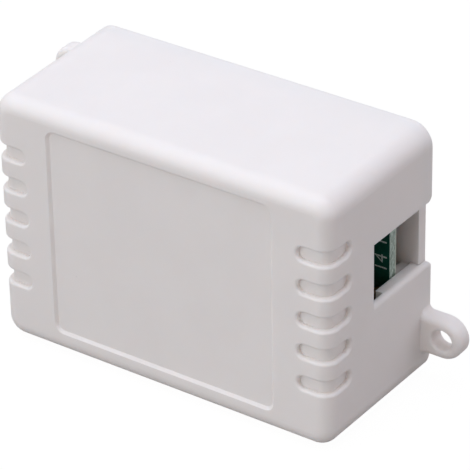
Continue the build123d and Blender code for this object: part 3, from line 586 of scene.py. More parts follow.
@dataclass(frozen=True)
class TintedLens:
    """Clear tinted resin with a darker heart."""

    name: str = "lamp_red"
    colour: Colour = (0.62, 0.02, 0.02)
    heart: Colour = (0.25, 0.01, 0.01)
    middle: Point = (20.1, 3.6, 8.5)
    heart_span: Span = (1.0, 2.6)
    clearness: float = 0.45
    roughness: float = 0.12
    wave_size: float = 1.2
    wave_depth: float = 0.004

    def make(self) -> bpy.types.Material:
        """Builds the material.

        Returns:
            The material.
        """
        recipe = Recipe(self.name)
        depth = recipe.ramp(recipe.range_from(self.middle), *self.heart_span)
        colour = recipe.mix(depth, self.heart, self.colour)
        relief = recipe.relief(self.wave_size, self.wave_depth)
        return recipe.finish(Base_Color=colour, Roughness=self.roughness, Normal=relief,
                             Transmission_Weight=self.clearness)


@dataclass(frozen=True)
class PressedCan:
    """A capacitor's bright can with a scored cross in its top."""

    name: str = "can_aluminium"
    colour: Colour = (0.78, 0.79, 0.80)
    middle: Place = (-8.6, 29.6)
    score_reach: float = 2.7
    score_fade: float = 0.1
    score_half: float = 0.16
    score_edge: float = 0.08
    score_depth: float = 0.12
    top: Span = (-6.2, -5.6)
    brush_size: float = 0.3
    brush_stretch: Point = (1.0, 5.0, 1.0)
    brush_shade: float = 0.9
    brush_depth: float = 0.003
    polish: Span = (0.25, 0.4)

    def make(self) -> bpy.types.Material:
        """Builds the material.

        Returns:
            The material.
        """
        recipe = Recipe(self.name)
        x, z = self.middle
        bar = recipe.within(Along.X, x - self.score_half, x + self.score_half, self.score_edge)
        cross = recipe.within(Along.Z, z - self.score_half, z + self.score_half, self.score_edge)
        away = recipe.range_from((x, self.top[1], z))
        near = recipe.ramp(away, self.score_reach - self.score_fade, self.score_reach, 1.0, 0.0)
        lines = recipe.work("MULTIPLY", recipe.work("MAXIMUM", bar, cross), near)
        score = recipe.work("MULTIPLY", lines, recipe.within(Along.Y, *self.top))
        brush = recipe.noise(self.brush_size, stretch=self.brush_stretch)
        colour = recipe.tone(recipe.ramp(brush, *NOISE_SPAN), self.colour, self.brush_shade)
        relief = recipe.bump(score, -self.score_depth, recipe.bump(brush, self.brush_depth))
        rough = recipe.ramp(brush, *NOISE_SPAN, *self.polish)
        return recipe.finish(Base_Color=colour, Metallic=1.0, Roughness=rough, Normal=relief)


@dataclass(frozen=True)
class StripedSleeve:
    """A shrunk plastic sleeve with a pale stripe down one side."""

    name: str = "sleeve_film"
    colour: Colour = (0.012, 0.016, 0.03)
    stripe: Colour = (0.55, 0.56, 0.56)
    stripe_edge: float = -5.5
    dash_pitch: float = 2.6
    dash_half: float = 0.45
    dash_line: Span = (29.35, 29.85)
    stripe_soft: float = 0.03
    dash_soft: float = 0.05
    ripple_size: float = 2.0
    ripple_depth: float = 0.02
    gloss_size: float = 0.6
    gloss: Span = (0.25, 0.35)

    def make(self) -> bpy.types.Material:
        """Builds the material.

        Returns:
            The material.
        """
        recipe = Recipe(self.name)
        low, high = self.stripe_edge - self.stripe_soft, self.stripe_edge + self.stripe_soft
        pale = recipe.ramp(recipe.along(Along.X), low, high)
        step = recipe.work("PINGPONG", recipe.along(Along.Y), self.dash_pitch / 2)
        near, far = self.dash_half - self.dash_soft, self.dash_half + self.dash_soft
        dash = recipe.ramp(step, near, far, 1.0, 0.0)
        ink = recipe.work("MULTIPLY", dash, recipe.within(Along.Z, *self.dash_line))
        colour = recipe.mix(recipe.work("SUBTRACT", pale, ink), self.colour, self.stripe)
        relief = recipe.relief(self.ripple_size, self.ripple_depth)
        rough = recipe.drift(self.gloss_size, *self.gloss)
        return recipe.finish(Base_Color=colour, Roughness=rough, Normal=relief)


@dataclass(frozen=True)
class PrintedInk:
    """White board print, thin enough that its edges are uneven."""

    name: str = "board_ink"
    colour: Colour = (0.72, 0.76, 0.73)
    thin_size: float = 0.25
    thin_span: Span = (0.35, 0.6)
    thin_shade: float = 0.72
    depth: float = 0.004
    roughness: float = 0.6

    def make(self) -> bpy.types.Material:
        """Builds the material.

        Returns:
            The material.
        """
        recipe = Recipe(self.name)
        thin = recipe.cloud(self.thin_size, self.thin_span)
        colour = recipe.tone(thin, self.colour, self.thin_shade)
        relief = recipe.bump(thin, self.depth)
        return recipe.finish(Base_Color=colour, Roughness=self.roughness, Normal=relief)


@dataclass(frozen=True)
class MaskedTrack:
    """Copper under the green mask."""

    name: str = "masked_track"
    colour: Colour = (0.012, 0.13, 0.075)
    cloud_size: float = 1.4
    cloud_shade: float = 0.85
    swell_size: float = 0.7
    swell_depth: float = 0.006
    roughness: float = 0.27

    def make(self) -> bpy.types.Material:
        """Builds the material.

        Returns:
            The material.
        """
        recipe = Recipe(self.name)
        colour = recipe.tone(recipe.drift(self.cloud_size), self.colour, self.cloud_shade)
        relief = recipe.relief(self.swell_size, self.swell_depth)
        return recipe.finish(Base_Color=colour, Roughness=self.roughness, Normal=relief)


@dataclass(frozen=True)
class FloorPaper:
    """Pale paper that looks white to the camera and keeps a soft shadow."""

    name: str = "floor_paper"
    colour: Colour = (0.39, 0.373, 0.359)
    white_share: float = 0.9
    white_strength: float = 1.08
    fibre_size: float = 1.2
    fibre_shade: float = 0.985
    roughness: float = 0.95

    def make(self) -> bpy.types.Material:
        """Builds the material.

        Returns:
            The material.
        """
        recipe = Recipe(self.name)
        colour = recipe.tone(recipe.drift(self.fibre_size), self.colour, self.fibre_shade)
        material = recipe.finish(Base_Color=colour, Roughness=self.roughness)
        glow = recipe.add("ShaderNodeEmission")
        glow.inputs["Strength"].default_value = self.white_strength
        seen = recipe.add("ShaderNodeLightPath")
        share = recipe.work("MULTIPLY", seen.outputs["Is Camera Ray"], self.white_share)
        blend(recipe.tree, share, recipe.shader.outputs[0], glow.outputs[0], recipe.out.inputs["Surface"])
        return material


class Finishes:
    """Every finish of the box, made once and shared by the parts that have it."""

    def __init__(self) -> None:
        """Makes the materials."""
        lid_pins = ((-22.0, 6.0), (22.0, 6.0), (-22.0, 33.4), (22.0, 33.4), (0.0, 19.7))
        self.white = MouldedPlastic("white_plastic", (0.86, 0.812, 0.787), cloud=0.015, pins=lid_pins,
                                    dust=((21.35, 2.27, 39.4),), sink=0.5).make()
        self.laminate = BoardLaminate().make()
        self.ink = PrintedInk().make()
        self.track = MaskedTrack().make()
        self.solder = PlatedMetal("solder", (0.70, 0.70, 0.71), 0.22, EVEN, 0.02).make()
        self.tinned = PlatedMetal("tinned_metal", (0.74, 0.74, 0.75), 0.3).make()
        self.steel = PlatedMetal("screw_steel", (0.66, 0.66, 0.64), 0.36, (4.0, 1.0, 4.0), 0.003).make()
        self.bright_steel = PlatedMetal("button_steel", (0.70, 0.70, 0.70), 0.25, (0.4, 6.0, 6.0)).make()
        # A dark brown stain over most of the chip capacitor's caps, set to the brownish dark patch low in
        # the box's notch.
        self.brown_stained = PlatedMetal("brown_stained_tin", (0.40, 0.23, 0.11), 0.45, EVEN, 0.01,
                                  stain=(0.16, 0.07, 0.02), stain_share=0.8).make()
        self.iron = PlatedMetal("soft_iron", (0.55, 0.55, 0.54), 0.4, EVEN, 0.004).make()
        self.contact = PlatedMetal("contact_metal", (0.78, 0.60, 0.33), 0.28, (6.0, 6.0, 0.4)).make()
        self.copper = WoundWire().make()
        self.relay_shell = MouldedPlastic("relay_shell", (0.025, 0.12, 0.42), 0.32, 0.3, 0.002,
                                          cloud=0.05).make()
        self.bobbin = MouldedPlastic("bobbin_plastic", (0.74, 0.70, 0.58), 0.5).make()
        self.terminal = MouldedPlastic("terminal_plastic", (0.02, 0.24, 0.10), 0.38, 0.3,
                                       cloud=0.06).make()
        self.can = PressedCan().make()
        self.sleeve = StripedSleeve().make()
        self.rubber = MouldedPlastic("seal_rubber", (0.02, 0.02, 0.02), 0.8, 0.2, 0.01).make()
        self.epoxy = MouldedPlastic("black_epoxy", (0.018, 0.018, 0.02), 0.6, 0.12, 0.01, 0.1).make()
        self.trimmer = MouldedPlastic("trimmer_blue", (0.02, 0.12, 0.45), 0.35, 0.3, 0.002).make()
        self.rotor = MouldedPlastic("rotor_white", (0.78, 0.78, 0.74), 0.4, 0.3, 0.002).make()
        self.plunger = MouldedPlastic("plunger_plastic", (0.03, 0.03, 0.03), 0.5).make()
        self.lens = TintedLens().make()
        self.ceramic = MouldedPlastic("chip_ceramic", (0.20, 0.085, 0.03), 0.55, 0.1, 0.004,
                                      cloud=0.15).make()


def dress(material: bpy.types.Material, *nodes: str) -> None:
    """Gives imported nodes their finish.

    Args:
        material: The finish.
        *nodes: Names of the nodes.
    """
    for node in nodes:
        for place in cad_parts[node].material_slots:
            place.material = material
        log.info("dressed %s", node)


class Bench:
    """One new piece on the bench, shaped with Blender's own operators."""

    weld_reach = 0.002
    weld_angle = radians(1.0)

    def __init__(self, name: str) -> None:
        """Takes the object that an operator has just added, with its place in its mesh.

        Args:
            name: Name of the piece.
        """
        self.piece = bpy.context.active_object
        self.piece.name = name
        self.settle()

    @staticmethod
    def clear() -> None:
        """Puts everything else away, so that an operator acts on one piece."""
        if bpy.context.mode != "OBJECT":
            bpy.ops.object.mode_set(mode="OBJECT")
        bpy.ops.object.select_all(action="DESELECT")

    @classmethod
    def select(cls, first: bpy.types.Object, *others: bpy.types.Object) -> None:
        """Selects objects alone, with the first as the active one.

        Args:
            first: The active object.
            *others: The rest.
        """
        cls.clear()
        for thing in (first, *others):
            thing.select_set(True)
        bpy.context.view_layer.objects.active = first

    @classmethod
    def disc(cls, name: str, middle: Point, radius: float, sides: int = 48) -> "Bench":
        """Starts a round sheet that looks to the front.

        Args:
            name: Name of the piece.
            middle: Its middle.
            radius: Its radius.
            sides: Number of its corners.

        Returns:
            The bench.
        """
        cls.clear()
        bpy.ops.mesh.primitive_circle_add(vertices=sides, radius=radius * MM, fill_type="NGON",
                                          location=Vector(middle) * MM, rotation=(pi / 2, 0.0, 0.0))
        return cls(name)

    @classmethod
    def sheet(cls, name: str, middle: Point, wide: float, tall: float) -> "Bench":
        """Starts a rectangular sheet that looks to the front.

        Args:
            name: Name of the piece.
            middle: Its middle.
            wide: Its size along X.
            tall: Its size along Z.

        Returns:
            The bench.
        """
        cls.clear()
        bpy.ops.mesh.primitive_plane_add(size=1.0, location=Vector(middle) * MM,
                                         rotation=(pi / 2, 0.0, 0.0))
        bpy.context.active_object.scale = (wide * MM, tall * MM, 1.0)
        return cls(name)

    def hold(self) -> None:
        """Selects the piece alone."""
        self.select(self.piece)

    def settle(self) -> None:
        """Moves the piece's place, turn and scale into its mesh."""
        self.hold()
        bpy.ops.object.transform_apply(location=True, rotation=True, scale=True)

    def pick(self, test: Callable[[Vector, Vector], bool]) -> None:
        """Opens the piece and selects the faces that pass a test.

        Args:
            test: Takes a face's middle, in millimetres, and its normal.
        """
        self.hold()
        bpy.ops.object.mode_set(mode="EDIT")
        bpy.ops.mesh.select_mode(type="FACE")
        bpy.ops.mesh.select_all(action="DESELECT")
        bpy.ops.object.mode_set(mode="OBJECT")
        for face in self.piece.data.polygons:
            face.select = test(face.center / MM, face.normal)
        bpy.ops.object.mode_set(mode="EDIT")

    def pick_all(self) -> None:
        """Opens the piece and selects every face."""
        self.pick(lambda middle, normal: True)

    def hollow(self, line: float) -> None:
        """Leaves only a line along the sheet's edge.

        Args:
            line: Width of the line.
        """
        self.pick_all()
        bpy.ops.mesh.inset(thickness=line * MM)
        bpy.ops.mesh.delete(type="FACE")
        bpy.ops.object.mode_set(mode="OBJECT")

    def modify(self, kind: str, **settings: object) -> None:
        """Adds a modifier and applies it.

        Args:
            kind: Kind of modifier, such as SOLIDIFY.
            **settings: Its settings.
        """
        self.hold()
        modifier = self.piece.modifiers.new(kind.lower(), kind)
        for name, value in settings.items():
            setattr(modifier, name, value)
        bpy.ops.object.modifier_apply(modifier=modifier.name)

    def weld(self) -> None:
        """Merges the corners that lie on one another and the faces that lie flat together."""
        self.pick_all()
        bpy.ops.mesh.remove_doubles(threshold=self.weld_reach * MM)
        bpy.ops.mesh.dissolve_limited(angle_limit=self.weld_angle)
        bpy.ops.object.mode_set(mode="OBJECT")

    def face_out(self) -> None:
        """Turns every face of the closed piece outwards, so that it holds a positive volume."""
        self.pick_all()
        bpy.ops.mesh.normals_make_consistent(inside=False)
        bpy.ops.object.mode_set(mode="OBJECT")
        volume = sum(face.center.dot(face.normal) * face.area for face in self.piece.data.polygons)
        if volume < 0.0:
            self.pick_all()
            bpy.ops.mesh.flip_normals()
            bpy.ops.object.mode_set(mode="OBJECT")

    def thicken(self, height: float) -> None:
        """Gives the sheet a thickness in front of it."""
        self.modify("SOLIDIFY", thickness=height * MM, offset=1.0)

    def twin(self, way: Point) -> "Bench":
        """Copies the piece, with its own mesh.

        Args:
            way: Way from the piece to the copy.

        Returns:
            The copy on its own bench.
        """
        self.hold()
        bpy.ops.object.duplicate(linked=False)
        bpy.context.active_object.location = Vector(way) * MM
        return Bench(self.piece.name)

    def absorb(self, others: list["Bench"]) -> None:
        """Joins other pieces into this one.

        Args:
            others: The other pieces.
        """
        self.select(self.piece, *(other.piece for other in others))
        bpy.ops.object.join()

    def hand_over(self, material: bpy.types.Material, slot: str, body: str) -> None:
        """Dresses the piece and lets it ride.

        Args:
            material: Its finish.
            slot: The record's material slot; not used.
            body: The body that carries it.
        """
        self.piece.data.materials.clear()
        self.piece.data.materials.append(material)
        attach(self.piece, body)
        log.info("made %s, %d faces", self.piece.name, len(self.piece.data.polygons))


def join_all(name: str, pieces: list[Bench]) -> Bench:
    """Joins pieces into one.

    Args:
        name: Name of the joined piece.
        pieces: The pieces, at least one.

    Returns:
        The joined piece.
    """
    first = pieces[0]
    if len(pieces) > 1:
        first.absorb(pieces[1:])
    first.piece.name = name
    first.piece.data.name = name
    return first


@dataclass
class Enclosure:
    """The white box and its lid."""

    finishes: Finishes

    def build(self) -> None:
        """Dresses the box and the lid."""
        dress(self.finishes.white, "housing", "rear_lid")


@dataclass(frozen=True)
class BoardNumber:
    """One number printed on the board."""

    text: str
    middle: Place
    size: float
    reading: Reading = Reading.LEVEL


@dataclass
class BoardPrint:
    """White print on the board's front: a line round each part, and plain numbers."""

    finishes: Finishes
    line: float = 0.18
    height: float = 0.03
    number_bite: float = 0.005
    stroke_trim: float = 0.03
    curve_steps: int = 4
    frames: tuple[tuple[Place, Place], ...] = (
        ((4.9, 25.8), (16.6, 20.4)),
        ((18.4, 23.1), (8.7, 10.9)),
        ((-18.4, 16.3), (8.7, 10.9)),
        ((-5.4, 8.5), (11.6, 9.6)),
        ((4.6, 8.5), (7.9, 7.9)),
        ((13.15, 8.5), (8.3, 6.9)),
        ((18.4, 15.0), (6.6, 4.8)),
        ((-18.4, 25.78), (6.6, 4.8)),
        ((-15.71, 7.28), (9.0, 7.2)),
        ((-8.6, 22.8), (5.0, 2.7)),
    )
    rings: tuple[tuple[Place, float], ...] = (((-8.6, 29.6), 4.45), ((20.1, 8.5), 2.3))
    numbers: tuple[BoardNumber, ...] = (
        BoardNumber("14", (24.31, 20.2), 2.9, Reading.UPWARD),
        BoardNumber("11", (24.31, 24.3), 2.9, Reading.UPWARD),
        BoardNumber("1", (-24.3, 18.84), 2.4, Reading.DOWNWARD),
        BoardNumber("2", (-24.3, 13.76), 2.4, Reading.DOWNWARD),
        BoardNumber("1", (-2.6, 28.0), 2.0),
        BoardNumber("2", (-14.6, 31.5), 2.0),
        BoardNumber("3", (-5.4, 15.0), 2.0),
        BoardNumber("4", (4.6, 13.9), 2.0),
        BoardNumber("5", (13.15, 13.4), 2.0),
    )

    def number(self, mark: BoardNumber) -> Bench:
        """Makes one number as a thin mesh.

        Args:
            mark: The number.

        Returns:
            The piece.
        """
        Bench.clear()
        bpy.ops.object.text_add()
        words = bpy.context.active_object
        words.data.body = mark.text
        words.data.size = mark.size * MM
        words.data.align_x = "CENTER"
        words.data.align_y = "CENTER"
        words.data.extrude = self.height / 2 * MM
        words.data.offset = -self.stroke_trim * MM
        words.data.resolution_u = self.curve_steps
        bpy.ops.object.convert(target="MESH")
        depth = BOARD_FRONT - self.height / 2 + self.number_bite
        place = Vector((mark.middle[0], depth, mark.middle[1])) * MM
        turn = Matrix.Rotation(pi / 2, 4, "X") @ Matrix.Rotation(radians(mark.reading.value), 4, "Z")
        bpy.context.active_object.matrix_world = Matrix.Translation(place) @ turn
        digits = Bench("number")
        digits.weld()
        digits.face_out()
        return digits

    def outlines(self) -> list[Bench]:
        """Makes the lines round the parts.

        Returns:
            The pieces.
        """
        pieces = []
        for (x, z), (wide, tall) in self.frames:
            pieces.append(Bench.sheet("outline", (x, BOARD_FRONT, z), wide, tall))
        for (x, z), radius in self.rings:
            pieces.append(Bench.disc("outline", (x, BOARD_FRONT, z), radius))
        for piece in pieces:
            piece.hollow(self.line)
            piece.thicken(self.height)
        return pieces

    def build(self) -> None:
        """Prints the board."""
        outlines = join_all("board_outlines", self.outlines())
        outlines.hand_over(self.finishes.ink, "board_laminate", "board")
        numbers = join_all("board_numbers", [self.number(mark) for mark in self.numbers])
        numbers.hand_over(self.finishes.ink, "board_laminate", "board")


@dataclass(frozen=True)
class Track:
    """One run of copper from lead to lead."""

    width: float
    route: tuple[Place, ...]


@dataclass
class BoardCopper:
    """The copper under the mask on both faces, and the tinned rings round the leads."""

    finishes: Finishes
    height: float = 0.06
    bite: float = 0.02
    pad_height: float = 0.04
    pad_bite: float = 0.01
    pad_sides: int = 24
    lead_share: float = 0.55
    rear_tracks: tuple[Track, ...] = (
        Track(1.8, ((4.9, 17.45), (12.2, 17.45), (15.3, 20.56))),
        Track(1.6, ((10.9, 20.3), (10.9, 22.4), (14.14, 25.64), (15.3, 25.64))),
        Track(0.7, ((-0.95, 34.55), (-2.0, 34.55), (-4.4, 32.15), (-4.4, 23.2), (-4.79, 22.8))),
        Track(0.7, ((10.75, 34.55), (20.6, 34.55), (23.6, 31.55), (23.6, 17.36), (20.94, 14.7))),
        Track(1.0, ((-15.3, 18.84), (-15.3, 21.4), (-18.4, 24.5), (-18.4, 25.48))),
        Track(1.0, ((-15.3, 13.76), (-9.9, 19.16), (-9.9, 27.1), (-10.35, 27.55), (-10.35, 29.6))),
        Track(0.9, ((-6.85, 29.6), (-6.85, 32.6), (-8.4, 34.15), (-14.2, 34.15), (-15.86, 32.49),
                    (-15.86, 25.48))),
        Track(0.5, ((-9.21, 4.69), (-11.4, 4.69), (-11.9, 5.18))),
        Track(0.5, ((-9.21, 12.31), (-10.2, 12.31), (-11.9, 10.61), (-11.9, 9.38))),
        Track(0.5, ((-1.59, 4.69), (0.8, 4.69), (2.1, 6.0))),
        Track(0.5, ((-1.59, 12.31), (3.3, 12.31), (4.6, 11.0))),
        Track(0.5, ((7.1, 6.0), (7.35, 6.25), (9.9, 6.25))),
        Track(0.5, ((16.4, 6.25), (16.6, 6.25), (18.83, 8.5))),
        Track(0.5, ((21.37, 8.5), (21.37, 10.9), (18.4, 13.87), (18.4, 14.7))),
        Track(0.5, ((9.9, 10.75), (9.9, 11.2), (13.4, 14.7), (15.86, 14.7))),
        Track(0.8, ((-19.52, 5.18), (-19.52, 11.5), (-17.26, 13.76), (-15.3, 13.76))),
        Track(0.5, ((-12.41, 22.8), (-13.4, 23.79), (-14.1, 25.48), (-15.86, 25.48))),
    )
    front_tracks: tuple[Track, ...] = (
        Track(0.5, ((-6.67, 12.31), (-6.67, 14.6), (-4.4, 16.87), (-4.4, 22.3), (-4.79, 22.8))),
        Track(0.5, ((-4.13, 12.31), (-4.13, 13.4), (-2.83, 14.7), (15.86, 14.7))),
        Track(0.5, ((-4.13, 4.69), (-4.13, 3.9), (8.4, 3.9), (9.9, 5.4), (9.9, 6.25))),
        Track(0.5, ((-11.9, 7.28), (-10.6, 7.28), (-9.6, 6.28), (-6.67, 6.28), (-6.67, 4.69))),
        Track(0.8, ((-20.94, 25.48), (-20.94, 31.0), (-17.5, 34.4), (-11.6, 34.4), (-10.35, 33.2),
                    (-10.35, 29.6))),
        Track(0.8, ((20.94, 14.7), (23.0, 12.64), (23.0, 4.6), (22.2, 3.9), (9.0, 3.2), (-19.0, 3.2),
                    (-19.52, 5.18))),
    )
    pads: tuple[tuple[float, tuple[Place, ...]], ...] = (
        (1.25, ((4.9, 17.45), (-1.1, 20.3), (10.9, 20.3))),
        (1.1, ((15.3, 20.56), (15.3, 25.64), (-15.3, 18.84), (-15.3, 13.76))),
        (0.9, ((-10.35, 29.6), (-6.85, 29.6), (2.1, 6.0), (7.1, 6.0), (4.6, 11.0), (-0.95, 34.55),
               (10.75, 34.55))),
        (0.8, (*((x, z) for z in (4.69, 12.31) for x in (-9.21, -6.67, -4.13, -1.59)),
               *((x, z) for x in (9.9, 16.4) for z in (6.25, 10.75)), (18.83, 8.5), (21.37, 8.5),
               *((x, 14.7) for x in (15.86, 18.4, 20.94)), *((x, 25.48) for x in (-20.94, -18.4, -15.86)),
               *((x, z) for z in (5.18, 7.28, 9.38) for x in (-19.52, -11.9)), (-12.41, 22.8),
               (-4.79, 22.8))),
    )

    def run(self, track: Track, side: BoardSide) -> Bench:
        """Makes one flat run of copper.

        Args:
            track: The run.
            side: The face it lies on.

        Returns:
            The piece.
        """
        Bench.clear()
        bpy.ops.mesh.primitive_plane_add(size=1.0)
        start = Bench("track")
        start.pick_all()
        bpy.ops.mesh.merge(type="CENTER")
        bpy.ops.mesh.select_mode(type="VERT")
        bpy.ops.mesh.select_all(action="SELECT")
        first = Vector((*track.route[0], 0.0)) * MM
        bpy.ops.transform.translate(value=first)
        for here, there in zip(track.route, track.route[1:]):
            step = Vector((there[0] - here[0], there[1] - here[1], 0.0)) * MM
            bpy.ops.mesh.extrude_region_move(TRANSFORM_OT_translate={"value": step})
        start.hold()
        bpy.ops.object.convert(target="CURVE")
        line = bpy.context.active_object
        bpy.ops.mesh.primitive_plane_add(size=1.0)
        section = bpy.context.active_object
        section.scale = (track.width * MM, self.height * MM, 1.0)
        bpy.ops.object.transform_apply(location=True, rotation=True, scale=True)
        bpy.ops.object.mode_set(mode="EDIT")
        bpy.ops.mesh.delete(type="ONLY_FACE")
        bpy.ops.object.mode_set(mode="OBJECT")
        bpy.ops.object.convert(target="CURVE")
        line.data.dimensions = "3D"
        line.data.twist_mode = "Z_UP"
        line.data.bevel_mode = "OBJECT"
        line.data.bevel_object = section
        line.data.use_fill_caps = True
        Bench.select(line)
        bpy.ops.object.convert(target="MESH")
        bpy.data.objects.remove(section)
        depth = side.depth + side.outward * (self.height / 2 - self.bite)
        line.matrix_world = Matrix.Translation((0.0, depth * MM, 0.0)) @ Matrix.Rotation(pi / 2, 4, "X")
        copper = Bench("track")
        copper.weld()
        copper.face_out()
        return copper

    def rings(self, side: BoardSide) -> list[Bench]:
        """Makes the tinned ring round every lead on one face.

        Args:
            side: The face.

        Returns:
            The pieces.
        """
        pieces = []
        lift = self.pad_height if side is BoardSide.REAR else 0.0
        depth = side.depth + lift - self.pad_bite * side.outward
        for radius, places in self.pads:
            start_x, start_z = places[0]
            ring = Bench.disc("pad", (start_x, depth, start_z), radius, self.pad_sides)
            ring.hollow(radius * (1.0 - self.lead_share))
            ring.thicken(self.pad_height)
            pieces.append(ring)
            pieces.extend(ring.twin((x - start_x, 0.0, z - start_z)) for x, z in places[1:])
        return pieces

    def build(self) -> None:
        """Lays the copper."""
        for side, tracks in ((BoardSide.REAR, self.rear_tracks), (BoardSide.FRONT, self.front_tracks)):
            face = side.name.lower()
            runs = join_all(f"board_tracks_{face}", [self.run(track, side) for track in tracks])
            runs.hand_over(self.finishes.track, "board_laminate", "board")
            rings = join_all(f"board_pads_{face}", self.rings(side))
            rings.hand_over(self.finishes.tinned, "tinned_metal", "board")


@dataclass
class CircuitBoard:
    """The bare board, its print, its copper and its solder."""

    finishes: Finishes

    def build(self) -> None:
        """Dresses the board and adds what is on it."""
        dress(self.finishes.laminate, "circuit_board")
        dress(self.finishes.solder, "solder_joints")
        BoardPrint(self.finishes).build()
        BoardCopper(self.finishes).build()


@dataclass
class Relay:
    """The sealed relay, with a raised vent nib on its top."""

    finishes: Finishes
    top_depth: float = -9.9
    nib_place: Place = (-0.6, 18.4)
    nib_radius: float = 0.7
    nib_height: float = 0.3
    nib_sides: int = 40
    nib_bite: float = 0.05
    rim_share: float = 0.45
    dimple_share: float = 0.6
    edge_radius: float = 0.07
    crown_reach: float = 0.02

    def nib(self) -> None:
        """Makes the vent nib: a low round boss with a dimple in its crown."""
        x, z = self.nib_place
        foot = (x, self.top_depth + self.nib_bite, z)
        boss = Bench.disc("relay_vent_nib", foot, self.nib_radius, self.nib_sides)
        boss.thicken(self.nib_height + self.nib_bite)
        crown = self.top_depth - self.nib_height + self.crown_reach
        boss.pick(lambda middle, normal: normal.y < -0.5 and middle.y < crown)
        bpy.ops.mesh.inset(thickness=self.nib_radius * self.rim_share * MM)
        bpy.ops.transform.translate(value=(0.0, self.nib_height * self.dimple_share * MM, 0.0))
        boss.modify("BEVEL", width=self.edge_radius * MM, segments=3, limit_method="ANGLE")
        boss.hand_over(self.finishes.relay_shell, "relay_shell", "board")

    def build(self) -> None:
        """Dresses the relay and adds the nib."""
        dress(self.finishes.relay_shell, "relay_case", "relay_base")
        dress(self.finishes.iron, "relay_yoke", "relay_core", "relay_armature")
        dress(self.finishes.bobbin, "relay_bobbin")
        dress(self.finishes.copper, "relay_coil")
        dress(self.finishes.contact, "relay_contact_spring", "relay_closed_contact", "relay_open_contact")
        dress(self.finishes.tinned, "relay_coil_pins")
        self.nib()


@dataclass
class Terminal:
    """A two-pole screw terminal."""

    finishes: Finishes
    name: str

    def build(self) -> None:
        """Dresses the block, its screws and its cages."""
        dress(self.finishes.terminal, f"{self.name}_terminal_body")
        dress(self.finishes.tinned, f"{self.name}_terminal_contacts")
        for pole in (1, 2):
            dress(self.finishes.steel, f"{self.name}_screw_{pole}", f"{self.name}_cage_{pole}")


@dataclass
class Capacitor:
    """The electrolytic capacitor, with the shrunk sleeve that the solids leave out."""

    finishes: Finishes
    middle: Place = (-8.6, 29.6)
    can_radius: float = 4.0
    can_top: float = -5.9
    can_foot: float = 5.3
    film: float = 0.07
    sides: int = 72
    clearance: float = 0.02
    lip: float = 0.75
    foot_rise: float = 0.25
    shoulder_drop: float = 0.6
    shoulder: tuple[tuple[float, float], ...] = ((0.16, -0.14), (0.45, 0.03), (0.75, 0.04))
    smooth_angle: float = radians(40.0)

    def sleeve(self) -> None:
        """Makes the sleeve: a tube that turns in over the can's shoulder and under its foot.

        The shoulder's steps are how far in from the can's side and how far above its top.
        """
        x, z = self.middle
        reach, height = self.can_radius - self.lip + self.clearance, 0.0
        tube = Bench.disc("capacitor_sleeve", (x, self.can_foot, z), reach, self.sides)
        wall = self.can_radius + self.clearance
        rise = self.can_foot - self.can_top
        steps = (
            (wall, self.foot_rise),
            (wall, rise - self.shoulder_drop),
            *((self.can_radius - inward, rise + above) for inward, above in self.shoulder),
        )
        tube.pick_all()
        for radius, level in steps:
            lift = (0.0, (height - level) * MM, 0.0)
            bpy.ops.mesh.extrude_region_move(TRANSFORM_OT_translate={"value": lift})
            grow = radius / reach
            bpy.ops.transform.resize(value=(grow, 1.0, grow))
            reach, height = radius, level
        tube.pick(lambda middle, normal: (middle - Vector((x, middle.y, z))).length < self.film)
        bpy.ops.mesh.delete(type="FACE")
        tube.modify("SOLIDIFY", thickness=self.film * MM, offset=1.0)
        tube.hold()
        bpy.ops.object.shade_smooth_by_angle(angle=self.smooth_angle)
        tube.hand_over(self.finishes.sleeve, "seal_rubber", "board")

    def build(self) -> None:
        """Dresses the capacitor and adds the sleeve."""
        dress(self.finishes.can, "capacitor_can")
        dress(self.finishes.rubber, "capacitor_seal", "capacitor_core")
        dress(self.finishes.tinned, "capacitor_leads")
        self.sleeve()


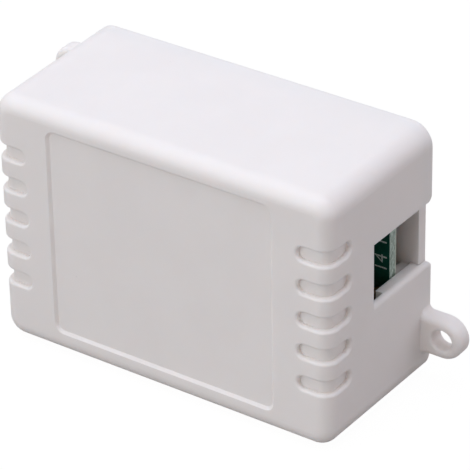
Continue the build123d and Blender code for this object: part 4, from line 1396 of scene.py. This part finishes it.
@dataclass
class SmallParts:
    """The chip, trimmer, button, lamp and the parts on wire leads."""

    finishes: Finishes
    resistor_middle: float = -15.71
    resistor_edges: tuple[float, ...] = (6.23, 8.33)
    ring_width: float = 0.34
    ring_places: tuple[float, ...] = (-1.35, -0.7, -0.05, 1.2)
    diode_middle: float = -8.6
    diode_ring: float = 1.35
    diode_ring_width: float = 0.5

    def resistor_finish(self) -> bpy.types.Material:
        """Makes the three resistors' lacquer and rings, whose colours go from the lowest up.

        Returns:
            The material.
        """
        brown, black, red = (0.12, 0.035, 0.012), (0.01, 0.01, 0.01), (0.45, 0.01, 0.01)
        orange, yellow = (0.7, 0.13, 0.01), (0.75, 0.5, 0.02)
        violet, gold = (0.14, 0.03, 0.25), (0.55, 0.33, 0.07)
        rings = ((brown, yellow, red), (black, violet, red), (orange, red, black), (gold, gold, gold))
        bands = tuple(
            Band(self.resistor_middle + place, self.ring_width, colours)
            for place, colours in zip(self.ring_places, rings)
        )
        return BandedBody("resistor_ceramic", (0.62, 0.45, 0.24), bands, self.resistor_edges).make()

    def diode_finish(self) -> bpy.types.Material:
        """Makes the diode's moulded body and its one pale ring."""
        ring = Band(self.diode_middle + self.diode_ring, self.diode_ring_width, ((0.62, 0.62, 0.6),))
        return BandedBody("diode_epoxy", (0.015, 0.015, 0.016), (ring,), roughness=0.5).make()

    def build(self) -> None:
        """Dresses the small parts."""
        finishes = self.finishes
        dress(finishes.epoxy, "timer_chip", "transistor", "regulator", "button_base")
        dress(finishes.tinned, "timer_chip_pins", "trimmer_pins", "button_pins", "button_dome")
        dress(finishes.tinned, "indicator_lamp_leads", "transistor_leads", "regulator_leads")
        dress(finishes.tinned, "resistor_leads", "coil_diode_leads")
        dress(finishes.brown_stained, "chip_capacitor_caps")
        dress(finishes.trimmer, "trimmer_body")
        dress(finishes.rotor, "trimmer_rotor")
        dress(finishes.bright_steel, "button_cover")
        dress(finishes.plunger, "button_plunger")
        dress(finishes.lens, "indicator_lamp")
        dress(finishes.ceramic, "chip_capacitor")
        dress(self.resistor_finish(), "resistors")
        dress(self.diode_finish(), "coil_diode")


@dataclass(frozen=True)
class SoftLamp:
    """One square lamp that looks at the box."""

    name: str
    place: Point
    power: float
    colour: Colour = WHITE
    size: float = 0.8
    aim: Point = (0.0, 0.0, 0.02)

    def make(self) -> None:
        """Hangs the lamp."""
        data = bpy.data.lights.new(self.name, "AREA")
        data.shape = "SQUARE"
        data.size = self.size
        data.energy = self.power
        data.color = self.colour
        lamp = bpy.data.objects.new(self.name, data)
        bpy.context.scene.collection.objects.link(lamp)
        lamp.location = self.place
        lamp.rotation_euler = (Vector(self.aim) - Vector(self.place)).to_track_quat("-Z", "Y").to_euler()


@dataclass
class Studio:
    """Floor, world, lamps and the camera at the photograph's viewpoint."""

    floor_size: float = 4.0
    floor_gap: float = 0.05
    world_strength: float = 0.37
    world_colour: Colour = (1.0, 0.94, 0.925)
    lamps: tuple[SoftLamp, ...] = (
        SoftLamp("top_lamp", (0.0, -0.042, 1.199), 5.3, (0.89, 0.985, 1.2)),
        SoftLamp("front_lamp", (-0.22, -1.014, 0.6), 4.85, (0.97, 1.025, 1.065)),
        SoftLamp("left_lamp", (-0.52, -0.3, 1.039), 1.6, (0.94, 1.015, 1.1)),
        SoftLamp("rear_left_lamp", (-0.52, 0.3, 1.039), 0.5, (0.94, 1.015, 1.08)),
        SoftLamp("rear_right_lamp", (0.891, 0.624, 0.507), 2.05, (0.99, 0.985, 1.11)),
    )
    azimuth: float = 35.30
    elevation: float = 31.31
    roll: float = -1.126
    focal_length: float = 3299.0
    frame_width: float = 470.0
    camera_place: Point = (228.04, -316.42, 256.49)
    camera_reach: Span = (0.01, 20.0)

    def lay_floor(self) -> None:
        """Lays the floor just under the box."""
        Bench.clear()
        bpy.ops.mesh.primitive_plane_add(size=self.floor_size, location=(0.0, 0.0, -self.floor_gap * MM))
        floor = bpy.context.active_object
        floor.name = "floor"
        floor.data.materials.append(FloorPaper().make())

    def light_world(self) -> None:
        """Makes the faint light all round and the white that the camera sees."""
        world = bpy.data.worlds.new("studio_world")
        bpy.context.scene.world = world
        world.use_nodes = True
        nodes, links = world.node_tree.nodes, world.node_tree.links
        soft = nodes["Background"]
        soft.inputs["Color"].default_value = (*self.world_colour, 1.0)
        soft.inputs["Strength"].default_value = self.world_strength
        white = nodes.new("ShaderNodeBackground")
        white.inputs["Color"].default_value = (*WHITE, 1.0)
        seen = nodes.new("ShaderNodeLightPath")
        share = seen.outputs["Is Camera Ray"]
        for ray in ("Is Glossy Ray", "Is Transmission Ray"):
            either = nodes.new("ShaderNodeMath")
            either.operation = "MAXIMUM"
            links.new(share, either.inputs[0])
            links.new(seen.outputs[ray], either.inputs[1])
            share = either.outputs[0]
        out = nodes["World Output"].inputs["Surface"]
        blend(world.node_tree, share, soft.outputs[0], white.outputs[0], out)

    def set_camera(self) -> None:
        """Places the camera and makes it the scene's own."""
        turn, lift, roll = (radians(angle) for angle in (self.azimuth, self.elevation, self.roll))
        back = Vector((sin(turn) * cos(lift), -cos(turn) * cos(lift), sin(lift)))
        across = (-back).cross(Vector((0.0, 0.0, 1.0))).normalized()
        rise = back.cross(across)
        right = across * cos(roll) + rise * sin(roll)
        upward = rise * cos(roll) - across * sin(roll)
        pose = Matrix((right, upward, back)).transposed().to_4x4()
        pose.translation = Vector(self.camera_place) * MM
        data = bpy.data.cameras.new("camera")
        data.angle = 2.0 * atan(self.frame_width / 2.0 / self.focal_length)
        data.clip_start, data.clip_end = self.camera_reach
        camera = bpy.data.objects.new("camera", data)
        bpy.context.scene.collection.objects.link(camera)
        camera.matrix_world = pose
        bpy.context.scene.camera = camera

    def build(self) -> None:
        """Sets up the studio."""
        self.lay_floor()
        self.light_world()
        for lamp in self.lamps:
            lamp.make()
        self.set_camera()
        bpy.context.scene.view_settings.view_transform = "Standard"
        log.info("studio ready, %d lamps", len(self.lamps))


def main() -> None:
    """Builds the studio and every sub-assembly, and logs each one."""
    logging.basicConfig(level=logging.INFO)
    Bench.clear()
    Studio().build()
    finishes = Finishes()
    assemblies = (
        Enclosure(finishes),
        CircuitBoard(finishes),
        Relay(finishes),
        Terminal(finishes, "output"),
        Terminal(finishes, "input"),
        Capacitor(finishes),
        SmallParts(finishes),
    )
    for assembly in assemblies:
        assembly.build()
        log.info("built %s", type(assembly).__name__)


if __name__ == "__main__":
    main()
